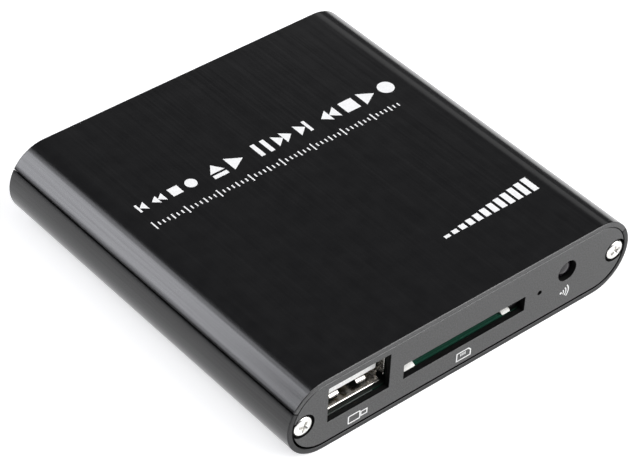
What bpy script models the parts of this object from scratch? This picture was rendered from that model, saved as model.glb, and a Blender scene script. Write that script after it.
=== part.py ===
"""A palm-sized media player: a two-part extruded case, two end panels and a circuit board.

The frame is metres with +Z up. The origin is the middle of the underside, and the front panel faces -Y.
Each end has a frame of its own, an empty whose +Y runs inwards from the face of that end.
"""

import math

import bmesh
import bpy

# Case: the outer size, the wall and the seam between the upper cover and the lower shell
CASE_WIDTH = 0.0800
CASE_DEPTH = 0.0800
CASE_HEIGHT = 0.0160
CASE_WALL = 0.0010
CASE_END_CHAMFER = 0.0003
SEAM_RISE = 0.0041
SEAM_GAP = 0.0003
LIP_THICKNESS = 0.0008
LIP_REACH = 0.0018
LIP_ROOT = 0.0014
ROUND_STEPS = 20

# Gaps: between parts that rest on each other, and between small parts that are soldered or pressed in
CLEARANCE = 0.0003
SNUG = 0.0001
OVERRUN = 0.0010

# End panels and the screws that hold them
PANEL_THICKNESS = 0.0012
PANEL_CHAMFER = 0.0002
SCREW_HEAD_RADIUS = 0.00195
SCREW_HEAD_PROUD = 0.0002
SCREW_HEAD_DOME = 0.0003
SCREW_SHAFT_RADIUS = 0.0010
SCREW_LENGTH = 0.0075
SCREW_RECESS_ARM = 0.0011
SCREW_RECESS_WIDTH = 0.0005
SCREW_RECESS_DEPTH = 0.0004
COUNTERBORE_RADIUS = 0.00245
COUNTERBORE_DEPTH = 0.0007
CHANNEL_RADIUS = 0.0026
CHANNEL_ROOT = 0.0002
CHANNEL_SLOT = 0.0010
SMALL_STEPS = 12

# Circuit board and the rails that hold its edges. The board lies a little below the middle of the case
BOARD_DROP = 0.00235
BOARD_THICKNESS = 0.0016
BOARD_EDGE_TO_CHANNEL = 0.0020
RAIL_THICKNESS = 0.0007
RAIL_OVERLAP = 0.0010
RAIL_SETBACK = 0.0006

# Front row: what the rails and the widths of port, card socket, light and receiver leave free is shared
# out from the left, and the rest of it lies at the right end
FRONT_GAP_SHARES = (0.160, 0.229, 0.029, 0.138)

# Data port: the opening in the front panel, the metal shell, the insulator and its four contacts
PORT_SIDE_ROOM = 0.0004
PORT_SILL = 0.00015
PORT_LINTEL = 0.0013
PORT_SETBACK = 0.0022
PORT_WIDTH = 0.0132
PORT_HEIGHT = 0.0058
PORT_LENGTH = 0.0140
PORT_WALL = 0.00035
PORT_CORNER = 0.0006
PORT_FLARE = 0.00035
PORT_FLARE_LENGTH = 0.0006
TONGUE_SIDE_GAP = 0.0007
TONGUE_THICKNESS = 0.00184
TONGUE_RISE_SHARE = 0.8
TONGUE_SETBACK = 0.0010
PORT_BLOCK_LENGTH = 0.0042
PORT_CONTACT_WIDTH = 0.0010
PORT_CONTACT_THICKNESS = 0.00025
PORT_CONTACT_SETBACK = 0.0015
PORT_CONTACT_SHARES = (-0.315, -0.09, 0.09, 0.315)
PORT_SPRING_X = 0.00285
PORT_SPRING_WIDTH = 0.0019
PORT_SPRING_RISE = 0.0006
PORT_SPRING_SHARES = (0.39, 0.60, 0.69, 0.85)

# Card slot in the front panel and the card socket behind it
SLOT_SIDE_ROOM = 0.0020
SLOT_SILL = 0.00032
SLOT_HEADROOM = 0.0002
SOCKET_SETBACK = 0.0030
SOCKET_LENGTH = 0.0285
SOCKET_HEIGHT = 0.0027
SOCKET_FLOOR = 0.0005
SOCKET_LEFT_WALL = 0.0009
SOCKET_RIGHT_WALL = 0.0009
SOCKET_BACK_WALL = 0.0012
CARD_BAY_WIDTH = 0.0245
SLIDER_BAY_WIDTH = 0.0021
PARTITION_THICKNESS = 0.0003
PARTITION_LENGTH = 0.0120
CORNER_BLOCK_REACH = 0.0012
CORNER_BLOCK_HEIGHT = 0.0022
SHIELD_THICKNESS = 0.00025
SHIELD_SETBACK = 0.0003
SHIELD_SLOT_LENGTH = 0.0090
SHIELD_SLOT_WIDTH = 0.0010
SHIELD_SLOT_SHARES = (-0.30, -0.18, 0.12, 0.24)
ANCHOR_WIDTH = 0.0023
ANCHOR_LENGTH = 0.0009
ANCHOR_HEIGHT = 0.0004
CARD_CONTACT_COUNT = 9
CARD_CONTACT_MARGIN = 0.0018
CARD_CONTACT_WIDTH = 0.0009
CARD_CONTACT_THICKNESS = 0.0002
CARD_CONTACT_LENGTH = 0.0085
CARD_CONTACT_RISE = 0.0007

# Card slider with its spring and latch pin, which let a card be pushed in and pushed out again
SLIDER_TRAVEL = 0.0040
SLIDER_FRONT = 0.0060
SLIDER_LENGTH = 0.0110
SLIDER_HEIGHT = 0.0016
LUG_REACH = 0.0016
LUG_LENGTH = 0.0015
GROOVE_WIDTH = 0.0006
GROOVE_DEPTH = 0.0006
SPRING_RADIUS = 0.00065
SPRING_WIRE_RADIUS = 0.00012
SPRING_TURNS = 9
SPRING_TURN_STEPS = 10
LATCH_PIN_RADIUS = 0.0002
LATCH_PIN_GRIP = 0.0010
LATCH_PIN_HOOK = 0.0003

# Status light and remote receiver behind the front panel, each at its height above the board
LIGHT_RISE = 0.00235
LIGHT_HOLE_RADIUS = 0.0005
LIGHT_BODY_RADIUS = 0.00145
LIGHT_BODY_LENGTH = 0.0048
LIGHT_FLANGE_RADIUS = 0.0016
LIGHT_FLANGE_LENGTH = 0.0009
LIGHT_LEAD_PITCH = 0.0018
LEAD_THICKNESS = 0.0005
LIGHT_LEAD_RUN = 0.0012
RECEIVER_RISE = 0.0040
RECEIVER_HOLE_RADIUS = 0.0022
RECEIVER_WIDTH = 0.0062
RECEIVER_DEPTH = 0.0034
RECEIVER_HEIGHT = 0.00595
RECEIVER_LENS_RADIUS = 0.0019
RECEIVER_LENS_RISE = 0.0011
RECEIVER_LEAD_HEIGHT = 0.0010
RECEIVER_LEAD_PITCH = 0.0020

# Video socket in the rear panel
VIDEO_X_SHARE = -0.225
VIDEO_WIDTH = 0.0150
VIDEO_HEIGHT = 0.0056
VIDEO_LENGTH = 0.0112
VIDEO_WALL = 0.00035
VIDEO_SETBACK = 0.0002
VIDEO_KNEE_HEIGHT = 0.0020
VIDEO_KNEE_INSET = 0.0021
VIDEO_TONGUE_WIDTH = 0.0116
VIDEO_TONGUE_THICKNESS = 0.0012
VIDEO_TONGUE_HEIGHT = 0.0026
VIDEO_TONGUE_SETBACK = 0.0008
VIDEO_BLOCK_LENGTH = 0.0030

# Sound and picture jack, and power jack, in the rear panel
AV_X_SHARE = 0.0375
AV_BODY_WIDTH = 0.0068
AV_BODY_HEIGHT = 0.0060
AV_BODY_LENGTH = 0.0120
AV_BORE_RADIUS = 0.0018
AV_BORE_DEPTH = 0.0105
AV_COLLAR_RADIUS = 0.0027
AV_COLLAR_SETBACK = 0.0002
POWER_X_SHARE = 0.275
POWER_BODY_WIDTH = 0.0082
POWER_BODY_HEIGHT = 0.0076
POWER_BODY_LENGTH = 0.0105
POWER_BORE_RADIUS = 0.0029
POWER_BORE_DEPTH = 0.0088
POWER_HOLE_RADIUS = 0.0032
POWER_PIN_RADIUS = 0.00065
POWER_PIN_SETBACK = 0.0026
POWER_LEAF_WIDTH = 0.0016
POWER_LEAF_THICKNESS = 0.00025
POWER_LEAF_LENGTH = 0.0060

# Parts soldered to the board, placed from its middle by shares of its width and depth
PROCESSOR_SHARES = (-0.07, 0.10)
PROCESSOR_SIDE = 0.0150
PROCESSOR_HEIGHT = 0.0014
PROCESSOR_CHAMFER = 0.0008
HEAT_SINK_SIDE = 0.0140
HEAT_SINK_BASE = 0.0010
HEAT_SINK_HEIGHT = 0.0038
HEAT_SINK_FINS = 6
HEAT_SINK_FIN = 0.0009
MEMORY_SHARES = (0.195, 0.08)
MEMORY_SIZE = (0.0080, 0.0110, 0.0011)
FLASH_SHARES = (-0.31, 0.05)
FLASH_SIZE = (0.0050, 0.0060, 0.0016)
REGULATOR_SHARES = (0.39, 0.21)
REGULATOR_SIZE = (0.0065, 0.0036, 0.0017)
CHIP_CHAMFER = 0.0003
CRYSTAL_SHARES = (-0.31, 0.195)
CRYSTAL_LENGTH = 0.0110
CRYSTAL_WIDTH = 0.0046
CRYSTAL_HEIGHT = 0.0035
INDUCTOR_SHARES = (0.39, 0.10)
INDUCTOR_SIDE = 0.0070
INDUCTOR_HEIGHT = 0.0040
INDUCTOR_CORNER = 0.0012
CAPACITOR_SHARES = ((0.385, -0.19), (0.385, -0.08), (-0.375, -0.155))
CAPACITOR_RADIUS = 0.00315
CAPACITOR_HEIGHT = 0.0058
CAPACITOR_BASE = 0.0010
CAPACITOR_BASE_CORNER = 0.0010
CAPACITOR_GROOVE_DEPTH = 0.0003
CAPACITOR_GROOVE_SHARES = (0.24, 0.30, 0.36)

# Places that follow from the sizes above
MID_HEIGHT = CASE_HEIGHT / 2
ROUND_CENTRE_X = CASE_WIDTH / 2 - CASE_HEIGHT / 2
INNER_RADIUS = CASE_HEIGHT / 2 - CASE_WALL
PANEL_INSET = CASE_WALL + CLEARANCE
SCREW_X = CASE_WIDTH / 2 - CASE_WALL + CHANNEL_ROOT - CHANNEL_RADIUS
INNER_END = PANEL_THICKNESS + CLEARANCE
INNER_DEPTH = CASE_DEPTH - 2 * INNER_END
BOARD_WIDTH = 2 * (SCREW_X - BOARD_EDGE_TO_CHANNEL)
BOARD_TOP = MID_HEIGHT - BOARD_DROP
LIGHT_Z = BOARD_TOP + LIGHT_RISE
RECEIVER_Z = BOARD_TOP + RECEIVER_RISE
VIDEO_X = VIDEO_X_SHARE * CASE_WIDTH
AV_X = AV_X_SHARE * CASE_WIDTH
POWER_X = POWER_X_SHARE * CASE_WIDTH
PORT_FLOOR = CLEARANCE + PORT_WALL
PORT_INSIDE = PORT_HEIGHT - 2 * PORT_WALL
SOCKET_TOP = CLEARANCE + SOCKET_HEIGHT
SOCKET_FLOOR_TOP = CLEARANCE + SOCKET_FLOOR
SLIDER_BAY_LEFT = CARD_BAY_WIDTH / 2 + PARTITION_THICKNESS
SLIDER_BAY_RIGHT = CARD_BAY_WIDTH / 2 + SLIDER_BAY_WIDTH
SLIDER_MIDDLE = (SLIDER_BAY_LEFT + SLIDER_BAY_RIGHT) / 2

# Front row, from the left rail to the right one
PORT_HALF = PORT_WIDTH / 2 + PORT_SIDE_ROOM
SLOT_HALF = CARD_BAY_WIDTH / 2 + SLOT_SIDE_ROOM
SOCKET_RIGHT = SLIDER_BAY_RIGHT + SOCKET_RIGHT_WALL + CLEARANCE + SHIELD_THICKNESS
ROW_START = RAIL_OVERLAP - BOARD_WIDTH / 2
ROW_TAKEN = 2 * PORT_HALF + SLOT_HALF + SOCKET_RIGHT + 2 * LIGHT_FLANGE_RADIUS + RECEIVER_WIDTH
ROW_GAPS = [share * (-2 * ROW_START - ROW_TAKEN) for share in FRONT_GAP_SHARES]
PORT_X = ROW_START + ROW_GAPS[0] + PORT_HALF
SOCKET_X = PORT_X + PORT_HALF + ROW_GAPS[1] + SLOT_HALF
LIGHT_X = SOCKET_X + SOCKET_RIGHT + ROW_GAPS[2] + LIGHT_FLANGE_RADIUS
RECEIVER_X = LIGHT_X + LIGHT_FLANGE_RADIUS + ROW_GAPS[3] + RECEIVER_WIDTH / 2


def arc(centre, radius, start, end, steps):
    """Points on a circular arc, with its angles in degrees."""
    angles = [math.radians(start + (end - start) * step / steps) for step in range(steps + 1)]
    return [(centre[0] + radius * math.cos(a), centre[1] + radius * math.sin(a)) for a in angles]


def circle(centre, radius, steps):
    return arc(centre, radius, 0, 360, steps)[:-1]


def rectangle(left, right, low, high):
    return [(left, low), (right, low), (right, high), (left, high)]


def rounded_rectangle(width, height, corner, centre, steps=3):
    across, up = width / 2 - corner, height / 2 - corner
    places = ((across, up), (-across, up), (-across, -up), (across, -up))
    points = []
    for turn, (x, y) in enumerate(places):
        points += arc((centre[0] + x, centre[1] + y), corner, 90 * turn, 90 * turn + 90, steps)
    return points


def stadium(inset):
    """The case's cross-section, drawn inset: two flats joined by half circles."""
    radius = CASE_HEIGHT / 2 - inset
    right = arc((ROUND_CENTRE_X, MID_HEIGHT), radius, -90, 90, ROUND_STEPS)
    left = arc((-ROUND_CENTRE_X, MID_HEIGHT), radius, 90, 270, ROUND_STEPS)
    return right + left


def mirrored(outline):
    return [(-x, z) for x, z in reversed(outline)]


def lofted(rings, axis):
    """A closed body through rings of equal count: (place along the axis, outline across it)."""
    order = {
        "x": lambda a, b, along: (along, a, b),
        "y": lambda a, b, along: (a, along, b),
        "z": lambda a, b, along: (a, b, along),
    }[axis]
    bm = bmesh.new()
    loops = [[bm.verts.new(order(a, b, along)) for a, b in outline] for along, outline in rings]
    bm.faces.new(loops[0])
    bm.faces.new(loops[-1])
    for near, far in zip(loops, loops[1:]):
        for i in range(len(near)):
            j = (i + 1) % len(near)
            bm.faces.new((near[i], near[j], far[j], far[i]))
    return bm


def prism(outline, start, end, axis="y"):
    return lofted([(start, outline), (end, outline)], axis)


def block(left, right, front, back, low, high):
    return prism(rectangle(left, right, front, back), low, high, "z")


def look(name, colour, roughness, metallic=0.0):
    found = bpy.data.materials.new(name)
    found.use_nodes = True
    shader = found.node_tree.nodes["Principled BSDF"]
    shader.inputs["Base Color"].default_value = (*colour, 1)
    shader.inputs["Roughness"].default_value = roughness
    shader.inputs["Metallic"].default_value = metallic
    return found


def frame(name, place, parent=None, turn=0.0):
    """An empty that carries a group of pieces."""
    empty = bpy.data.objects.new(name, None)
    bpy.context.scene.collection.objects.link(empty)
    empty.location = place
    empty.rotation_euler.z = turn
    empty.parent = parent
    return empty


def piece(name, bm, finish, parent, place=(0, 0, 0), smooth=30):
    """One real piece: a closed mesh with its material, placed in its parent's frame."""
    bmesh.ops.recalc_face_normals(bm, faces=bm.faces)
    mesh = bpy.data.meshes.new(name)
    bm.to_mesh(mesh)
    bm.free()
    mesh.shade_smooth()
    mesh.set_sharp_from_angle(angle=math.radians(smooth))
    made = bpy.data.objects.new(name, mesh)
    bpy.context.scene.collection.objects.link(made)
    made.parent = parent
    made.location = place
    if finish:
        mesh.materials.append(finish)
    return made


def tool(name, bm, parent, place=(0, 0, 0)):
    """A cutter, or a shape to be joined on, which is not a piece by itself."""
    made = piece(name, bm, None, parent, place)
    made.hide_render = True
    made.display_type = "WIRE"
    return made


def combine(target, operation, tools):
    for shape in tools:
        step = target.modifiers.new(shape.name, "BOOLEAN")
        step.operation = operation
        step.solver = "EXACT"
        step.object = shape


def case_blank(name, finish, parent):
    """A full-length length of the case's outer form, chamfered at both ends, as a solid bar."""
    half = CASE_DEPTH / 2
    rings = [
        (-half, stadium(CASE_END_CHAMFER)),
        (-half + CASE_END_CHAMFER, stadium(0)),
        (half - CASE_END_CHAMFER, stadium(0)),
        (half, stadium(CASE_END_CHAMFER)),
    ]
    return piece(name, lofted(rings, "y"), finish, parent)


def hollow(name, parent):
    reach = CASE_DEPTH / 2 + OVERRUN
    return tool(name, prism(stadium(CASE_WALL), -reach, reach), parent)


def half_space(name, low, high, parent):
    across = CASE_WIDTH / 2 + OVERRUN
    along = CASE_DEPTH / 2 + OVERRUN
    return tool(name, block(-across, across, -along, along, low, high), parent)


def upper_cover(parent, finish):
    cover = case_blank("upper_cover", finish, parent)
    below = half_space("below_seam", -OVERRUN, MID_HEIGHT + SEAM_RISE + SEAM_GAP / 2, parent)
    combine(cover, "DIFFERENCE", [hollow("cover_hollow", parent), below])


def lip_outline():
    """The right lip: it roots in the shell's wall and rises inside the cover's wall."""
    centre = (ROUND_CENTRE_X, MID_HEIGHT)
    inside = INNER_RADIUS - CLEARANCE - LIP_THICKNESS
    outside = INNER_RADIUS - CLEARANCE
    in_wall = INNER_RADIUS + CASE_WALL / 2
    seam = math.degrees(math.asin(SEAM_RISE / (CASE_HEIGHT / 2)))
    step = seam - math.degrees(SEAM_GAP / in_wall)
    low = step - math.degrees(LIP_ROOT / in_wall)
    tip = seam + math.degrees(LIP_REACH / inside)
    return (
        arc(centre, inside, low, tip, 4)
        + arc(centre, outside, tip, step, 4)
        + arc(centre, in_wall, step, low, 3)
    )


def rail_outline(low, high):
    """A right rail: a shelf from under or over the board's edge into the shell's wall."""
    inner = BOARD_WIDTH / 2 - RAIL_OVERLAP
    in_wall = INNER_RADIUS + CASE_WALL / 2
    start = math.degrees(math.asin((low - MID_HEIGHT) / in_wall))
    end = math.degrees(math.asin((high - MID_HEIGHT) / in_wall))
    return [(inner, high), (inner, low)] + arc((ROUND_CENTRE_X, MID_HEIGHT), in_wall, start, end, 3)


def lower_shell(parent, finish):
    shell = case_blank("lower_shell", finish, parent)
    above = half_space("above_seam", MID_HEIGHT + SEAM_RISE - SEAM_GAP / 2, CASE_HEIGHT + OVERRUN, parent)
    combine(shell, "DIFFERENCE", [hollow("shell_hollow", parent), above])
    channel_end = INNER_DEPTH / 2
    rail_end = channel_end - RAIL_SETBACK
    lip_end = channel_end - SNUG
    bore_end = channel_end + OVERRUN
    shelf_top = BOARD_TOP - BOARD_THICKNESS - CLEARANCE
    guide_low = BOARD_TOP + CLEARANCE
    joined, cutters = [], []
    for side, turned in (("right", list), ("left", mirrored)):
        channel = circle((SCREW_X, MID_HEIGHT), CHANNEL_RADIUS, 2 * SMALL_STEPS)
        bore = circle((SCREW_X, MID_HEIGHT), SCREW_SHAFT_RADIUS + 2 * SNUG, SMALL_STEPS)
        slot_low, slot_high = MID_HEIGHT - CHANNEL_SLOT / 2, MID_HEIGHT + CHANNEL_SLOT / 2
        slot = rectangle(SCREW_X - CHANNEL_RADIUS - OVERRUN, SCREW_X, slot_low, slot_high)
        joins = (
            ("channel", channel, channel_end),
            ("shelf", rail_outline(shelf_top - RAIL_THICKNESS, shelf_top), rail_end),
            ("guide", rail_outline(guide_low, guide_low + RAIL_THICKNESS), rail_end),
            ("lip", lip_outline(), lip_end),
        )
        for name, outline, end in joins:
            joined.append(tool(f"{side}_{name}", prism(turned(outline), -end, end), parent))
        for name, outline in (("bore", bore), ("channel_slot", slot)):
            cutters.append(tool(f"{side}_{name}", prism(turned(outline), -bore_end, bore_end), parent))
    combine(shell, "UNION", joined)
    combine(shell, "DIFFERENCE", cutters)


def end_panel(name, parent, finish, openings):
    """A plate that fills one end of the case: flush outside, with a seat for each screw head."""
    rings = [
        (0, stadium(PANEL_INSET + PANEL_CHAMFER)),
        (PANEL_CHAMFER, stadium(PANEL_INSET)),
        (PANEL_THICKNESS, stadium(PANEL_INSET)),
    ]
    plate = piece(name, lofted(rings, "y"), finish, parent)
    through = PANEL_THICKNESS + OVERRUN
    cutters = []
    for title, outline in openings:
        cutters.append(tool(f"{name}_{title}", prism(outline, -OVERRUN, through), parent))
    for side, x in (("left", -SCREW_X), ("right", SCREW_X)):
        seat = circle((x, MID_HEIGHT), COUNTERBORE_RADIUS, 2 * SMALL_STEPS)
        hole = circle((x, MID_HEIGHT), SCREW_SHAFT_RADIUS + CLEARANCE, SMALL_STEPS)
        cutters.append(tool(f"{name}_seat_{side}", prism(seat, -OVERRUN, COUNTERBORE_DEPTH), parent))
        cutters.append(tool(f"{name}_hole_{side}", prism(hole, -OVERRUN, through), parent))
    combine(plate, "DIFFERENCE", cutters)


def screw(name, x, parent, finish):
    """A self-tapping screw along the end's inward axis, with a domed head and a cross recess."""
    centre = (0, 0)
    under_head = COUNTERBORE_DEPTH - SNUG
    steps = 2 * SMALL_STEPS
    rings = [
        (-SCREW_HEAD_PROUD, circle(centre, SCREW_HEAD_RADIUS - SCREW_HEAD_DOME, steps)),
        (-SCREW_HEAD_PROUD + SCREW_HEAD_DOME / 2, circle(centre, SCREW_HEAD_RADIUS, steps)),
        (under_head, circle(centre, SCREW_HEAD_RADIUS, steps)),
        (under_head, circle(centre, SCREW_SHAFT_RADIUS, steps)),
        (under_head + SCREW_LENGTH - SCREW_SHAFT_RADIUS, circle(centre, SCREW_SHAFT_RADIUS, steps)),
        (under_head + SCREW_LENGTH, circle(centre, SCREW_SHAFT_RADIUS / 2, steps)),
    ]
    made = piece(name, lofted(rings, "y"), finish, parent, (x, 0, MID_HEIGHT))
    front, deep = -SCREW_HEAD_PROUD - OVERRUN, SCREW_RECESS_DEPTH - SCREW_HEAD_PROUD
    arm, half = SCREW_RECESS_ARM, SCREW_RECESS_WIDTH / 2
    bars = (block(-arm, arm, front, deep, -half, half), block(-half, half, front, deep, -arm, arm))
    for turn, bar in enumerate(bars):
        combine(made, "DIFFERENCE", [tool(f"{name}_recess_{turn}", bar, parent, (x, 0, MID_HEIGHT))])


def circuit_board(parent, finish):
    half = BOARD_WIDTH / 2
    board = block(-half, half, -INNER_DEPTH / 2, INNER_DEPTH / 2, -BOARD_THICKNESS, 0)
    piece("circuit_board", board, finish, parent)


def data_port(parent, metal, plastic, gold):
    port = frame("data_port", (PORT_X, PORT_SETBACK, BOARD_TOP), parent)

    def ring(along, grow, flare):
        size = (PORT_WIDTH + 2 * grow + 2 * flare, PORT_HEIGHT + 2 * grow + flare)
        middle = (0, CLEARANCE + PORT_HEIGHT / 2 + flare / 2)
        return along, rounded_rectangle(*size, PORT_CORNER, middle)

    outer = [ring(0, 0, PORT_FLARE), ring(PORT_FLARE_LENGTH, 0, 0), ring(PORT_LENGTH, 0, 0)]
    inner = [
        ring(-OVERRUN, -PORT_WALL, PORT_FLARE),
        ring(0, -PORT_WALL, PORT_FLARE),
        ring(PORT_FLARE_LENGTH, -PORT_WALL, 0),
        ring(PORT_LENGTH + OVERRUN, -PORT_WALL, 0),
    ]
    shell = piece("port_shell", lofted(outer, "y"), metal, port)
    combine(shell, "DIFFERENCE", [tool("port_mouth", lofted(inner, "y"), port)])
    block_front = PORT_LENGTH - PORT_BLOCK_LENGTH
    start, rise, fall, end = (share * block_front for share in PORT_SPRING_SHARES)
    root, crest = PORT_FLOOR - PORT_WALL / 2, PORT_FLOOR + PORT_SPRING_RISE
    ramp = [(start, root), (end, root), (fall, crest), (rise, crest)]
    half = PORT_SPRING_WIDTH / 2
    for side, x in (("left", -PORT_SPRING_X), ("right", PORT_SPRING_X)):
        combine(shell, "UNION", [tool(f"port_spring_{side}", prism(ramp, x - half, x + half, "x"), port)])

    low = PORT_FLOOR + TONGUE_RISE_SHARE * (PORT_INSIDE - TONGUE_THICKNESS)
    _, room = ring(0, -PORT_WALL - SNUG, 0)
    insulator = piece("port_insulator", prism(room, block_front, PORT_LENGTH), plastic, port)
    tongue_width = PORT_WIDTH - 2 * (PORT_WALL + TONGUE_SIDE_GAP)
    across = tongue_width / 2
    tongue = block(-across, across, TONGUE_SETBACK, block_front + OVERRUN, low, low + TONGUE_THICKNESS)
    combine(insulator, "UNION", [tool("port_tongue", tongue, port)])
    half = PORT_CONTACT_WIDTH / 2
    front, back = TONGUE_SETBACK + PORT_CONTACT_SETBACK, block_front - CLEARANCE
    for number, share in enumerate(PORT_CONTACT_SHARES, 1):
        strip = block(-half, half, front, back, -PORT_CONTACT_THICKNESS, 0)
        piece(f"port_contact_{number}", strip, gold, port, (share * tongue_width, 0, low - SNUG))


def card_socket(parent, plastic, metal, gold, steel, slider_plastic):
    socket = frame("card_socket", (SOCKET_X, SOCKET_SETBACK, BOARD_TOP), parent)
    half_bay = CARD_BAY_WIDTH / 2
    left, right = -half_bay - SOCKET_LEFT_WALL, SLIDER_BAY_RIGHT + SOCKET_RIGHT_WALL
    back = SOCKET_LENGTH - SOCKET_BACK_WALL
    solid = block(left, right, 0, SOCKET_LENGTH, CLEARANCE, SOCKET_TOP)
    tray = piece("card_socket_frame", solid, plastic, socket)
    over = SOCKET_TOP + OVERRUN
    bay = block(-half_bay, SLIDER_BAY_RIGHT, -OVERRUN, back, SOCKET_FLOOR_TOP, over)
    combine(tray, "DIFFERENCE", [tool("card_bay", bay, socket)])
    low = SOCKET_FLOOR_TOP - SOCKET_FLOOR / 2
    high = SOCKET_TOP - CLEARANCE / 2
    partition = block(half_bay, SLIDER_BAY_LEFT, 0, PARTITION_LENGTH, low, high)
    in_wall = SLIDER_BAY_RIGHT + SOCKET_RIGHT_WALL / 2
    corner_left = half_bay + PARTITION_THICKNESS / 2
    corner_top = CLEARANCE + CORNER_BLOCK_HEIGHT
    corner = block(corner_left, in_wall, -CORNER_BLOCK_REACH, CORNER_BLOCK_REACH, low, corner_top)
    combine(tray, "UNION", [tool("card_partition", partition, socket), tool("card_corner", corner, socket)])

    gap, sheet = CLEARANCE, SHIELD_THICKNESS
    foot = 2 * CLEARANCE
    outer_left, outer_right = left - gap - sheet, right + gap + sheet
    under = SOCKET_TOP + gap
    hood = [
        (outer_left, foot), (left - gap, foot), (left - gap, under), (right + gap, under),
        (right + gap, foot), (outer_right, foot), (outer_right, under + sheet), (outer_left, under + sheet),
    ]
    shield = piece("card_socket_shield", prism(hood, SHIELD_SETBACK, SOCKET_LENGTH), metal, socket)
    middle = SOCKET_LENGTH / 2
    start, end = middle - SHIELD_SLOT_LENGTH / 2, middle + SHIELD_SLOT_LENGTH / 2
    for number, share in enumerate(SHIELD_SLOT_SHARES):
        x = share * CARD_BAY_WIDTH
        slot = block(x, x + SHIELD_SLOT_WIDTH, start, end, under - gap, over + gap + sheet)
        combine(shield, "DIFFERENCE", [tool(f"shield_slot_{number}", slot, socket)])

    for side, start in (("left", -half_bay), ("right", half_bay - ANCHOR_WIDTH)):
        end = start + ANCHOR_WIDTH
        foot_plate = block(start, end, -CLEARANCE - ANCHOR_LENGTH, -CLEARANCE, SNUG, SNUG + ANCHOR_HEIGHT)
        piece(f"socket_anchor_{side}", foot_plate, metal, socket)

    card_contacts(socket, gold, back)
    card_slider(socket, slider_plastic, steel, back)


def card_contacts(socket, gold, back):
    """Sprung strips on the socket's floor, which rise towards the mouth."""
    start = back - CLEARANCE
    rest = SOCKET_FLOOR_TOP + SNUG
    bend, tip = start - CARD_CONTACT_LENGTH / 3, start - CARD_CONTACT_LENGTH
    sheet, rise = CARD_CONTACT_THICKNESS, CARD_CONTACT_RISE
    side = [
        (start, rest), (start, rest + sheet), (bend, rest + sheet), (tip, rest + rise + sheet),
        (tip, rest + rise), (bend, rest),
    ]
    half = CARD_CONTACT_WIDTH / 2
    first = CARD_CONTACT_MARGIN + half - CARD_BAY_WIDTH / 2
    for number in range(CARD_CONTACT_COUNT):
        x = first - 2 * first * number / (CARD_CONTACT_COUNT - 1)
        piece(f"card_contact_{number + 1}", prism(side, -half, half, "x"), gold, socket, (x, 0, 0))


def card_slider(socket, plastic, steel, back):
    """The slider that a card pushes back against its spring, and the pin that latches it."""
    half = (SLIDER_BAY_RIGHT - SLIDER_BAY_LEFT) / 2 - CLEARANCE
    low = SOCKET_FLOOR_TOP + CLEARANCE
    body = block(-half, half, 0, SLIDER_LENGTH, 0, SLIDER_HEIGHT)
    place = (SLIDER_MIDDLE, SLIDER_FRONT, low)
    slider = piece("card_slider", body, plastic, socket, place)
    lug_left = CARD_BAY_WIDTH / 2 - LUG_REACH - SLIDER_MIDDLE
    lug_front = SLIDER_LENGTH - LUG_LENGTH
    margin = CLEARANCE / 2
    lug = block(lug_left, 0, lug_front, SLIDER_LENGTH - margin, margin, SLIDER_HEIGHT - GROOVE_DEPTH - margin)
    groove_low = SLIDER_HEIGHT - GROOVE_DEPTH
    groove_half = GROOVE_WIDTH / 2
    over = SLIDER_HEIGHT + OVERRUN
    groove = block(-groove_half, groove_half, -OVERRUN, lug_front, groove_low, over)
    combine(slider, "UNION", [tool("slider_lug", lug, socket, place)])
    combine(slider, "DIFFERENCE", [tool("slider_groove", groove, socket, place)])

    start = SLIDER_FRONT + SLIDER_LENGTH + CLEARANCE + SPRING_WIRE_RADIUS
    end = back - CLEARANCE - SPRING_WIRE_RADIUS
    steps = SPRING_TURNS * SPRING_TURN_STEPS
    route = []
    for step in range(steps + 1):
        angle = 2 * math.pi * step / SPRING_TURN_STEPS
        along = start + (end - start) * step / steps
        route.append((SPRING_RADIUS * math.cos(angle), along, SPRING_RADIUS * math.sin(angle)))
    middle = low + SLIDER_HEIGHT / 2
    tube("slider_spring", route, SPRING_WIRE_RADIUS, steel, socket, (SLIDER_MIDDLE, 0, middle))

    axis_z = low + SLIDER_HEIGHT - GROOVE_DEPTH + 2 * SNUG + LATCH_PIN_HOOK + LATCH_PIN_RADIUS
    pin_front = CORNER_BLOCK_REACH + CLEARANCE
    tip = SLIDER_FRONT + SLIDER_TRAVEL + LATCH_PIN_GRIP
    pin = [(0, pin_front, 0), (0, tip, 0), (0, tip + LATCH_PIN_HOOK, -LATCH_PIN_HOOK)]
    tube("latch_pin", pin, LATCH_PIN_RADIUS, steel, socket, (SLIDER_MIDDLE, 0, axis_z))


def tube(name, route, radius, finish, parent, place):
    """A round wire along a list of points, with its ends closed."""
    curve = bpy.data.curves.new(name, "CURVE")
    curve.dimensions = "3D"
    curve.bevel_depth = radius
    curve.bevel_resolution = 1
    curve.use_fill_caps = True
    spline = curve.splines.new("POLY")
    spline.points.add(len(route) - 1)
    for point, (x, y, z) in zip(spline.points, route):
        point.co = (x, y, z, 1)
    curve.materials.append(finish)
    wire = bpy.data.objects.new(name, curve)
    bpy.context.scene.collection.objects.link(wire)
    wire.parent = parent
    wire.location = place
    return wire


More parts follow.
